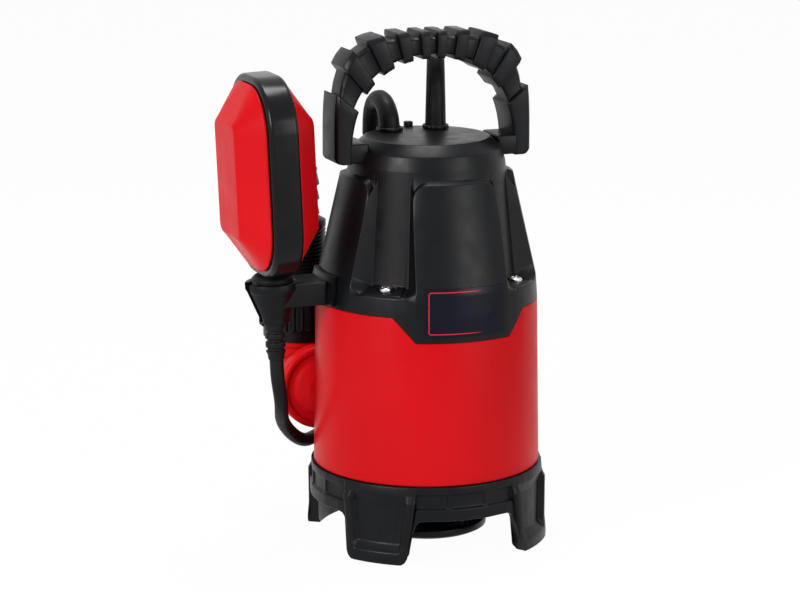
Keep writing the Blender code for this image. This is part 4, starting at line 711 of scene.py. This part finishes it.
# %% [markdown]
# The plate is a thin film on the tongue, bent with it. Its UV map holds millimetres from its middle, which
# the red frame in its finish reads.

# %% Plate
PLATE_LOW, PLATE_HIGH, PLATE_RADIUS, PLATE_HALF_ANGLE = 139.6, 168.5, 68.9, 21.3


def plate_grid(columns=41, rows=25):
    """Bearing across, height up, 1.15 mm above the housing's surface; the second grid is its back."""
    bearing = -90 + np.linspace(-PLATE_HALF_ANGLE, PLATE_HALF_ANGLE, columns)[:, None]
    height = np.linspace(PLATE_LOW, PLATE_HIGH, rows)[None, :]
    face = polar(outer_radius(height) + 1.15, bearing, height)
    back = polar(outer_radius(height) + 0.35, bearing, height)
    return face, back


face, back = plate_grid()
plate = piece("plate_film", [shell(np.concatenate([face, back[:, ::-1]], axis=1), ends="flat")], "dark_plate")
uv = plate.data.uv_layers.new(name="millimetres")
co = np.zeros(len(plate.data.vertices) * 3)
plate.data.vertices.foreach_get("co", co)
co = co.reshape(-1, 3) * 1000 - AXIS
corner_points = np.zeros(len(plate.data.loops), int)
plate.data.loops.foreach_get("vertex_index", corner_points)
across = (np.arctan2(co[:, 1], co[:, 0]) + math.pi / 2) * PLATE_RADIUS
above = co[:, 2] - (PLATE_LOW + PLATE_HIGH) / 2
uv.data.foreach_set("uv", np.stack([across, above], axis=1)[corner_points].ravel())
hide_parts("rating_plate")

# %% [markdown]
# Four screws hold the cover. The head is a shallow dome with a cross cut into it: the height is worked out
# over the whole disc, and the cross is taken off wherever a point lies within its two arms.

# %% Screws
def screw_top(radius=4.0, rings=22, steps=96):
    """Dome 3.0 - 1.3 (r/R)^2.4, less up to 1.5 inside a cross 1.24 wide and 5.0 long with soft sides."""
    r = np.linspace(0, 1, rings)[None, :] * radius
    a = np.linspace(0, math.tau, steps, endpoint=False)[:, None]
    x, y = r * np.cos(a), r * np.sin(a)
    wide, long = 0.62, 2.5
    first = np.maximum(np.abs(x) - wide, np.abs(y) - long)
    second = np.maximum(np.abs(y) - wide, np.abs(x) - long)
    arm = np.minimum(first, second)
    depth = 1.5 * eased(0.5 - arm / 0.5)
    return np.stack([x, y, 3.0 - 1.3 * (r / radius) ** 2.4 - depth + 0 * a], axis=-1)


SCREW_CIRCLE = 59.0
skirt = turned([(4.0, 1.7), (4.15, 0.8), (4.0, 0.0), (1.8, 0.0), (1.8, -14.0), (0, -14.0)], 96)
twist = np.array([(0.94, 0.34, 0), (-0.34, 0.94, 0), (0, 0, 1)])
screw_grid = np.concatenate([screw_top(), skirt], axis=1) @ twist
for number in range(4):
    grid = screw_grid + polar(SCREW_CIRCLE, 45 + 90 * number, SEAT + 0.1)
    screw = piece(f"screw_{number + 1}", [shell(grid, close_rows=True, close_columns=False)], "steel")
    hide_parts(f"cover_screw_{number + 1}")

# %% [markdown]
# The handle is an arch with raised blocks for grip: the two legs and four more up each side. Both its outer
# and its inner line are superellipses, flatter on top than a half circle, written with the angle seen from
# the middle between the feet. Where a block stands, the cross-section is larger on all four sides.

# %% Handle
def superellipse(half_width, rise, power, degrees):
    """Reach (|cos a / half width|^p + |sin a / rise|^p)^(-1/p) at each angle a, as x and z."""
    across, up = np.cos(np.radians(degrees)), np.sin(np.radians(degrees))
    reach = (np.abs(across / half_width) ** power + np.abs(up / rise) ** power) ** (-1 / power)
    return reach * across, reach * up


FOOT, SPRING, PROUD, GRIP, HALF_DEPTH = DISC - 13.0, DISC - 10.0, 3.8, 16.4, 13.5


def handle_sections(turn, proud):
    """Ten corners per section: the outer line, the back face, the inner line and the front face."""
    x_out, z_out = superellipse(63.0, TOP - SPRING, 4.0, turn)
    slant = 2.0 * np.sin(np.radians(2 * turn))
    x_in, z_in = superellipse(52.5, TOP - SPRING - GRIP, 2.3, turn - slant)
    gap = np.stack([x_out - x_in, z_out - z_in], axis=-1)
    across = gap / np.linalg.norm(gap, axis=-1, keepdims=True)
    sunk = (PROUD - proud)[:, None]
    outer_edge = np.stack([x_out, z_out + SPRING], axis=-1) - across * sunk
    inner_edge = np.stack([x_in, z_in + SPRING], axis=-1) + across * sunk * 0.6
    deep = HALF_DEPTH - (PROUD - proud)
    corners = []
    for part, y in ((0.0, deep - 2.2), (0.14, deep), (0.5, deep), (0.9, deep), (1.0, deep - 1.0)):
        place = outer_edge + (inner_edge - outer_edge) * part
        corners.append(np.stack([place[:, 0], y, place[:, 1]], axis=-1))
    mirrored = [corner * (1, -1, 1) for corner in corners[::-1]]
    return np.stack(corners + mirrored, axis=1)


side_turn = list(np.linspace(0, 32.5, 7)) + [32.8, 38.0]
side_proud = [PROUD] * 7 + [0.0, 0.0]
for begin, end in ((44.0, 52.0), (59.0, 66.5), (72.5, 78.0), (83.5, 88.0)):
    side_turn += [begin - 0.3, begin, (begin + end) / 2, end, end + 0.3]
    side_proud += [0.0, PROUD, PROUD, PROUD, 0.0]
turn = np.concatenate([side_turn, 180 - np.array(side_turn[::-1])])
grid = handle_sections(turn, np.array(side_proud + side_proud[::-1]))

# below the spring the legs go straight down, and their outer lower edge is round
drop = np.linspace(0, math.pi / 2, 6)
level = FOOT + 4.0 * (1 - np.cos(drop[::-1]))
narrow = 4.0 * (1 - np.sin(drop[::-1]))
for end in (0, -1):
    leg = np.repeat(grid[end][None], len(level), axis=0)
    inner_x = grid[end][4, 0]
    share = 1 - narrow / abs(grid[end][0, 0] - inner_x)
    leg[..., 0] = inner_x + (leg[..., 0] - inner_x) * share[::-1][:, None]
    leg[..., 2] = np.minimum(level[::-1], SPRING)[:, None]
    grid = np.concatenate([leg, grid]) if end == 0 else np.concatenate([grid, leg[::-1]])
grid = softened(softened(grid, 0.6, 2, closed=True, axis=1), 0.5, 2, axis=0)
shells = [shell(grid, ends="fan")]
for side in (-1, 1):
    reach = sorted((side * 41.5, side * 56.5))
    shells.append(soft_block((reach[0], -13.2, FOOT + 0.4), (reach[1], 13.2, DISC - 0.8), 1.5, 1.0))
handle = piece("grip_handle", shells, "black_plastic", sharp=50)
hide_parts("carry_handle")

# %% [markdown]
# A low round nut clamps each boot to the lid. It has a soft upper edge and small flats to turn it by.

# %% Gland nuts
for node, side in (("float_gland_nut", -1), ("mains_gland_nut", 1)):
    outline = softened([(6.9, 0), (8.2, 0), (8.2, 1.6), (7.6, 2.2), (6.9, 2.2)], 0.3, 3, closed=True)
    grid = turned(outline, 144)
    bearing = np.linspace(0, 360, 144, endpoint=False)
    flat = 1 - 0.035 * eased(np.cos(np.radians(bearing * 8)) * 1.5 - 0.3)
    grid[..., :2] *= np.where(grid[..., 2] < 1.7, flat[:, None], 1.0)[..., None]
    grid += (side * GLAND_X, GLAND_Y, DISC + 0.3)
    nut = piece(node.replace("_nut", "_ring"), [shell(grid, close_rows=True)], "black_plastic")
    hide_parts(node)

# %% [markdown]
# The casing is a plain wall with a slight taper, whose upper edge follows the cover's rim. Its outlet is a
# barrel that lies beside it, with rings on its front cap, and a riser that turns up into the union nut.

# %% Casing
bearing = np.unique(np.concatenate([np.linspace(-180, 180, 241)[:-1], [-128, -116, -64, -52]]))
top = rim_height(bearing)[:, None] - 0.3
low = np.full_like(top, BASE_HEIGHT + 0.3)
height = np.concatenate([low, (low + top) / 2, top, top, low], axis=1)
inset = np.array([0, 0, 0, WALL, WALL])
taper = CASING_RADIUS - CASING_TAPER * (height - BASE_HEIGHT) / (CASING_TOP - BASE_HEIGHT)
grid = softened(polar(taper - inset, bearing[:, None], height), 0.6, 3, closed=True)
casing = piece("casing_wall", [shell(grid, close_rows=True)], "red_plastic")
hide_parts("outer_casing")


def along_y(grid):
    """A shape drawn round Z, laid along Y at the outlet."""
    x, y, z = np.moveaxis(np.asarray(grid, float), -1, 0)
    return np.stack([OUTLET_X + x, z, OUTLET_HEIGHT - y], axis=-1)


cap = [(0, -3.5), (9.1, -2.8), (16.6, -0.5), (17.6, 1.5), (22.2, 1.5), (22.8, 0.0), (25.1, 0.0), (26.5, 1.4)]
cap += [(26.5, 9.0), (BARREL_RADIUS, 10.0)]
a = np.linspace(0, math.pi / 2, 9)
round_end = np.column_stack([BARREL_RADIUS * np.cos(a), RISER_Y + BARREL_RADIUS * np.sin(a)])
barrel = np.vstack([np.array(cap) + (0, BARREL_Y), round_end])
grid = along_y(turned(softened(barrel, 0.7, 4), 120))
piece("outlet_barrel", [shell(grid, close_rows=True, close_columns=False)], "red_plastic")
riser = [(RISER_RADIUS, 92), (RISER_RADIUS, 107), (19.2, 108.5), (19.2, 111.7), (RISER_RADIUS, 111.7)]
riser = softened(riser + [(RISER_RADIUS, 129), (BORE, 129), (BORE, 92)], 0.5, 3, closed=True)
piece("outlet_riser", [turned_shell(riser, 96, (OUTLET_X, RISER_Y, 0), tube=True)], "red_plastic")

# %% [markdown]
# The union nut has a smooth collar below and thirty ribs above. The ribs come from one number per bearing,
# a rounded square wave, which pushes the outline outwards between two heights.

# %% Union nut
def ribbed(outline, ribs, depth, low, high, steps):
    """Radius + depth w(bearing) between low and high, where w is a wave squared off by a smooth step."""
    grid = turned(outline, steps)
    bearing = np.linspace(0, math.tau, steps, endpoint=False)[:, None]
    wave = eased(0.5 + 1.1 * np.sin(bearing * ribs))
    zone = eased((grid[..., 2] - low) / 1.2) * eased((high - grid[..., 2]) / 1.2)
    radius = np.hypot(grid[..., 0], grid[..., 1])
    zone = zone * (radius > 22.5)
    grid[..., :2] *= (1 + depth * wave * zone / np.maximum(radius, 1.0))[..., None]
    return grid


NUT_LOW = 112.0
skin_z = np.linspace(7.0, 31.2, 22)
nut_outline = [(20.6, 0), (22.0, 0), (22.8, 1.0), (22.8, 6.0), (23.4, 7.0)]
nut_outline += [(24.1, z) for z in skin_z[1:]] + [(22.0, 33), (17.9, 33), (17.9, 28), (20.6, 28)]
grid = ribbed(softened(nut_outline, 0.4, 2, closed=True), 30, 1.3, 7.4, 30.9, 420)
grid += (OUTLET_X, RISER_Y, NUT_LOW)
nut = piece("union_nut", [shell(grid, close_rows=True)], "black_plastic", "coupling_nut")
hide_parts("coupling_nut")

# %% [markdown]
# The hose tail stands in the nut. Its lower half has a screw thread: the radius depends on the height less
# the bearing's share of one pitch, which turns rings into a spiral. Above it are barbs for a smaller hose.

# %% Hose tail
thread_z = np.arange(148.0, 184.0, 0.4)
tail_outline = [(BORE, 132), (19.8, 132), (19.8, 139.5), (RISER_RADIUS, 139.5), (RISER_RADIUS, 146)]
tail_outline += [(RISER_RADIUS, z) for z in thread_z] + [(RISER_RADIUS, 187.0), (14.6, 188.6)]
for number in range(3):
    low = 190 + number * 9.4
    tail_outline += [(11.9, low), (13.5, low + 1.2), (13.3, low + 2.4), (11.9, low + 8.8)]
tail_outline += [(12.3, 220.0), (BORE, 220.0)]
grid = turned(tail_outline, 120)
bearing = np.linspace(0, 1, 120, endpoint=False)[:, None]
saw = np.abs(((grid[..., 2] / 2.4 - bearing) % 1.0) - 0.5) * 2
on_skin = np.hypot(grid[..., 0], grid[..., 1]) > 16
zone = eased((grid[..., 2] - 148) / 3) * eased((185.5 - grid[..., 2]) / 3) * on_skin
grid[..., :2] *= (1 - 1.2 * eased(saw) * zone / RISER_RADIUS)[..., None]
grid += (OUTLET_X, RISER_Y, 0)
hose_tail = piece("threaded_tail", [shell(grid, close_rows=True)], "black_plastic", sharp=70)
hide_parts("hose_tail")

# %% [markdown]
# The base is one moulding as well. Its columns are closed outlines, outside down to the edge, under the deck
# and up the inside, and again there are two kinds: those of the band with its arches, and those of a foot,
# which stands further out and has a sunk panel.

# %% Base
BAND, LIP, GROOVE, FOOT_RADIUS = 71.6, 72.25, 70.4, 75.5
INSIDE = [(21.0, 27.0), (21.0, 30.0), (67.5, 30.0), (67.5, BASE_HEIGHT)]


def band_outline(bottom, face):
    """Outline of the band, whose groove is the face radius and whose lower edge is at bottom."""
    outside = [(BAND, 48.0), (BAND, 43.3), (face, 42.8), (face, 35.0)]
    outside += [(LIP, z) for z in np.linspace(34.0, bottom, 6)]
    return outside + [(LIP - 3.2, bottom), (LIP - 3.2, (bottom + 27.0) / 2), (LIP - 3.2, 27.0)] + INSIDE


def foot_outline(sink):
    """Outline of a foot, which starts under the band; its face is drawn in by sink between two heights."""
    face = [(BAND + 0.6, 42.5), (FOOT_RADIUS - 1.2 - sink, 38.5 - sink / 2), (FOOT_RADIUS - 0.9 - sink, 12.0)]
    face += [(FOOT_RADIUS - 0.4 - 0.4 * sink, 8.6), (FOOT_RADIUS - 0.4, 7.4)]
    face += [(FOOT_RADIUS - 0.2, 4.5), (FOOT_RADIUS - 0.1, 2.0), (FOOT_RADIUS, 0.6), (FOOT_RADIUS - 0.6, 0.0)]
    return [(BAND, 48.0)] + face + [(68.2, 0.0), (68.2, 4.5), (68.2, 27.0)] + INSIDE


def half_angle(height):
    """Half of a foot's width: 15 degrees at the floor, 19 at the band, its lower corners rounded by 5 mm."""
    corner = 1 - np.sqrt(1 - (1 - np.minimum(height, 5.0) / 5.0) ** 2)
    return 15.0 + 4.0 * np.minimum(1.0, height / 34.0) - 3.6 * corner


foot_sinks = [(-9.0, 3.8), (-5.0, 3.8), (-4.2, 0.0), (-2.6, 0.0), (-1.2, 0.0), (-0.3, 0.6), (0.0, 1.4)]
arch_bottoms = [(0.5, 20.5), (1.2, 24.3), (2.4, 26.4), (4.5, 27.0)]
half_columns = [(off, foot_outline(sink)) for off, sink in foot_sinks]
half_columns += [(off, band_outline(bottom, GROOVE)) for off, bottom in arch_bottoms]
window = [(-10.8, GROOVE), (-10.3, BAND), (-8.5, BAND), (-8.0, GROOVE), (-4.0, GROOVE), (0.0, GROOVE)]
window += [(-off, face) for off, face in window[-2::-1]]
columns = []
for quarter in range(4):
    for side, chosen in ((-1, half_columns[::-1]), (1, half_columns)):
        for off, outline in chosen:
            r, z = np.array(outline).T
            columns.append(polar(r, 45 + 90 * quarter + side * (half_angle(z) + off), z))
        if side < 0:
            r, z = np.array(foot_outline(3.8)).T
            columns += [polar(r, 45 + 90 * quarter + off, z) for off in (-4.0, 0.0, 4.0)]
    for off, face in window:
        r, z = np.array(band_outline(27.0, face)).T
        columns.append(polar(r, 90 + 90 * quarter + off, z))
grid = softened(softened(np.array(columns), 0.8, 3, closed=True, axis=1), 0.7, 3, closed=True, axis=0)
base = piece("base_moulding", [shell(grid, close_rows=True)], "black_plastic", sharp=50)
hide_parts("pump_base")

# %% [markdown]
# Under the deck hangs a shallow dish on four posts. It makes the pump draw its water from close to the floor.

# %% Dish
dish = [(0, 4.5), (34, 4.5), (37.5, 6.3), (37.5, 10.5), (35.7, 10.5)]
dish += [(34.1, 6.7), (7, 6.7), (5, 9.7), (0, 10.7)]
shells = [turned_shell(softened(dish, 0.8, 3), 96)]
for number in range(4):
    centre = polar(24.0, 45 + 90 * number, 5.5)
    shells.append(turned_shell([(0, 0), (4.8, 0), (4.1, 1.2), (3.5, 21.2), (0, 21.2)], 28, centre))
dish = piece("strainer_dish", shells, "black_plastic")
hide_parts("suction_dish")

# %% [markdown]
# The float is two red halves with a glossy band over their seam. Each half is a stack of rounded rectangles,
# and the outline that says how far each one is drawn in gives the sloping edge and the flat face.

# %% Float
FLOAT_HALF_WIDTH, FLOAT_HALF_HEIGHT = 40.0, 60.5


def float_rings(profile, points=13):
    """For each (x, side inset, end inset, corner): a rounded rectangle of 80 by 121 mm less the insets."""
    x, side, end, corner = (column[:, None] for column in np.asarray(profile, float).T)
    quarter = np.repeat(np.arange(4), points)
    angle = np.radians(90 * quarter + np.tile(np.linspace(0, 90, points), 4))[None]
    sign = np.array([(1, 1), (-1, 1), (-1, -1), (1, -1)])[quarter]
    y = sign[None, :, 0] * (FLOAT_HALF_WIDTH - side - corner) + corner * np.cos(angle)
    z = sign[None, :, 1] * (FLOAT_HALF_HEIGHT - end - corner) + corner * np.sin(angle)
    return np.stack([x + 0 * y, y, z], axis=-1)


half_profile = [
    (0.15, 6.3, 6.3, 26.0), (9.0, 6.3, 6.3, 26.0), (9.3, 4.4, 4.4, 27.7), (10.6, 4.4, 4.4, 27.7),
    (22.6, 17.8, 23.6, 8.0), (25.0, 20.6, 26.6, 5.0), (25.0, 30.0, 36.0, 3.0),
]
half_profile = softened(half_profile, 1.3, 5)
for node, side in (("float_shell_outer", -1), ("float_shell_inner", 1)):
    rings = float_rings(half_profile * (side, 1, 1, 1))
    name = "float_front" if side < 0 else "float_back"
    half_float = piece(name, [shell(rings, ends="flat")], "red_plastic", "float", world_from_float)
    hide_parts(node)

band_profile = [
    (-9.0, 6.0, 6.0, 26.2), (-9.0, 1.6, 1.6, 29.6), (-7.4, 0.0, 0.0, 31.0),
    (7.4, 0.0, 0.0, 31.0), (9.0, 1.6, 1.6, 29.6), (9.0, 6.0, 6.0, 26.2),
]
rings = float_rings(softened(band_profile, 1.2, 5, closed=True))
band = piece("seam_band", [shell(rings, close_rows=True)], "glossy_black", "float", world_from_float)
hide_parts("float_band")

# %% [markdown]
# Below the float a rubber neck narrows to a ribbed sleeve round the lead, which can bend without kinking.

# %% Neck
neck = [(0, -60.8), (10.6, -60.8), (12.6, -62.8), (12.6, -64.8), (6.9, -89.6), (6.4, -91.6)]
for number in range(3):
    rib = -91.6 - number * 5.4
    neck += [(6.2, rib - 3.2), (5.0, rib - 3.5), (5.0, rib - 5.0), (6.1, rib - 5.4)]
neck += [(6.0, -108.6), (5.2, -110.0), (4.9, -113.5), (0, -113.5)]
shells = [turned_shell(softened(neck, 0.45, 3), 72)]
neck = piece("kink_sleeve", shells, "black_rubber", "float", world_from_float)
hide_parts("float_neck")

# %% [markdown]
# The holder is a pad on the cover, an arm and a funnel with a slot down its outer side, which the lead is
# pressed through. The funnel's wall is carried round from one side of the slot to the other, and the slot
# keeps its width because its half angle is asin(half width / radius).

# %% Float holder
def funnel(steps=60):
    """A closed wall outline round the float's axis, open by 9.7 mm towards -X."""
    low, rim, half_slot = -90.6, -65.0, 4.85
    wall = [(7.2, low), (9.4, low), (9.4, low + 3), (15.5, rim - 6), (16.6, rim - 4)]
    wall += [(16.6, rim), (13.3, rim), (13.3, rim - 3), (7.2, low + 3)]
    wall = softened(wall, 0.6, 3, closed=True)
    half = np.degrees(np.arcsin(half_slot / wall[:, 0]))[None, :]
    share = np.linspace(0, 1, steps)[:, None]
    return polar(wall[None, :, 0], 180 + half + (360 - 2 * half) * share, wall[None, :, 1])


def in_mm_of_pump(grid):
    """The float's own millimetres, leaned and moved, still in millimetres."""
    return world_from_float(grid) * 1000 - AXIS


pad_z = np.array([152.5, 165.0, 170.5])
pad_bearing = np.linspace(164, 196, 17)[:, None]
pad_back, pad_face = [polar(outer_radius(pad_z) + lift, pad_bearing, pad_z) for lift in (0.5, 3.0)]
pad = np.concatenate([pad_back, pad_face[:, ::-1]], axis=1)
arm = [(-68.6, -13.5), (-68.6, 13.5), (-88, 13.0), (-99, 12.5), (-99, -12.5), (-88, -13.0)]
arm = softened(arm, 1.5, 3, closed=True)
arm_rings = [np.column_stack([arm * (1 - inset / 60) + np.array([-84 * inset / 60, 0]), np.full(len(arm), z)])
             for z, inset in ((152.5, 0.8), (153.0, 0.2), (153.6, 0), (165.6, 0), (166.2, 0.2), (166.6, 0.8))]
shells = [shell(softened(pad, 0.6, 3, closed=True, axis=1), ends="flat"), shell(arm_rings, ends="fan")]
shells.append(shell(in_mm_of_pump(funnel()), ends="flat"))
holder = piece("float_clip", shells, "black_plastic")
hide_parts("float_holder")

# %% [markdown]
# A plain studio: a pale floor, a wide soft light from the upper left, a weaker one from the right and one
# from above behind. The floor and the world show white to the camera and in reflections, and the floor keeps
# the pump's shadow because only part of its brightness is its own.

# %% Studio
def soft_light(name, location, target, size, power):
    """A square lamp that faces its target."""
    data = bpy.data.lights.new(name, "AREA")
    data.shape, data.size, data.energy = "SQUARE", size, power
    lamp = bpy.data.objects.new(name, data)
    lamp.location = location
    direction = np.array(target, float) - np.array(location, float)
    tilt = math.atan2(math.hypot(direction[0], direction[1]), -direction[2])
    lamp.rotation_euler = (tilt, 0.0, math.atan2(direction[1], direction[0]) - math.pi / 2)
    bpy.context.collection.objects.link(lamp)


soft_light("key", (-1.6, -0.9, 0.85), (0, 0, 0.15), 0.7, 30.0)
soft_light("fill", (0.9, -1.6, 0.6), (0, 0, 0.15), 0.9, 13.0)
soft_light("top", (0.1, 0.2, 1.8), (0, 0, 0.15), 0.6, 19.0)

floor_mesh = bpy.data.meshes.new("floor")
reach, sunk = 30, -0.0004
floor_corners = [(x * reach, y * reach, sunk) for x, y in ((-1, -1), (1, -1), (1, 1), (-1, 1))]
floor_mesh.from_pydata(floor_corners, [], [(0, 1, 2, 3)])
floor = bpy.data.objects.new("floor", floor_mesh)
bpy.context.collection.objects.link(floor)


def seen_directly(tree):
    """1 for camera, glossy and transmission rays, 0 for the rays that light things."""
    path = tree.nodes.new("ShaderNodeLightPath")
    either = maths(tree, "MAXIMUM", path.outputs["Is Camera Ray"], path.outputs["Is Glossy Ray"])
    return maths(tree, "MAXIMUM", either, path.outputs["Is Transmission Ray"])


made = bpy.data.materials.new("pale_floor")
made.use_nodes = True
tree = made.node_tree
shader = tree.nodes["Principled BSDF"]
shader.inputs["Base Color"].default_value = (0.88, 0.88, 0.88, 1.0)
shader.inputs["Roughness"].default_value = 0.9
shader.inputs["Specular IOR Level"].default_value = 0.1
glow = tree.nodes.new("ShaderNodeEmission")
blend = tree.nodes.new("ShaderNodeMixShader")
tree.links.new(maths(tree, "MULTIPLY", seen_directly(tree), 0.97), blend.inputs["Fac"])
tree.links.new(shader.outputs["BSDF"], blend.inputs[1])
tree.links.new(glow.outputs["Emission"], blend.inputs[2])
tree.links.new(blend.outputs["Shader"], tree.nodes["Material Output"].inputs["Surface"])
floor_mesh.materials.append(made)

studio = bpy.data.worlds.new("studio")
studio.use_nodes = True
tree = studio.node_tree
background = tree.nodes["Background"]
background.inputs["Color"].default_value = (1.0, 1.0, 1.0, 1.0)
strength = maths(tree, "MULTIPLY_ADD", seen_directly(tree), 0.85, 0.15)
tree.links.new(strength, background.inputs["Strength"])
bpy.context.scene.world = studio
bpy.context.scene.view_settings.view_transform = "Standard"
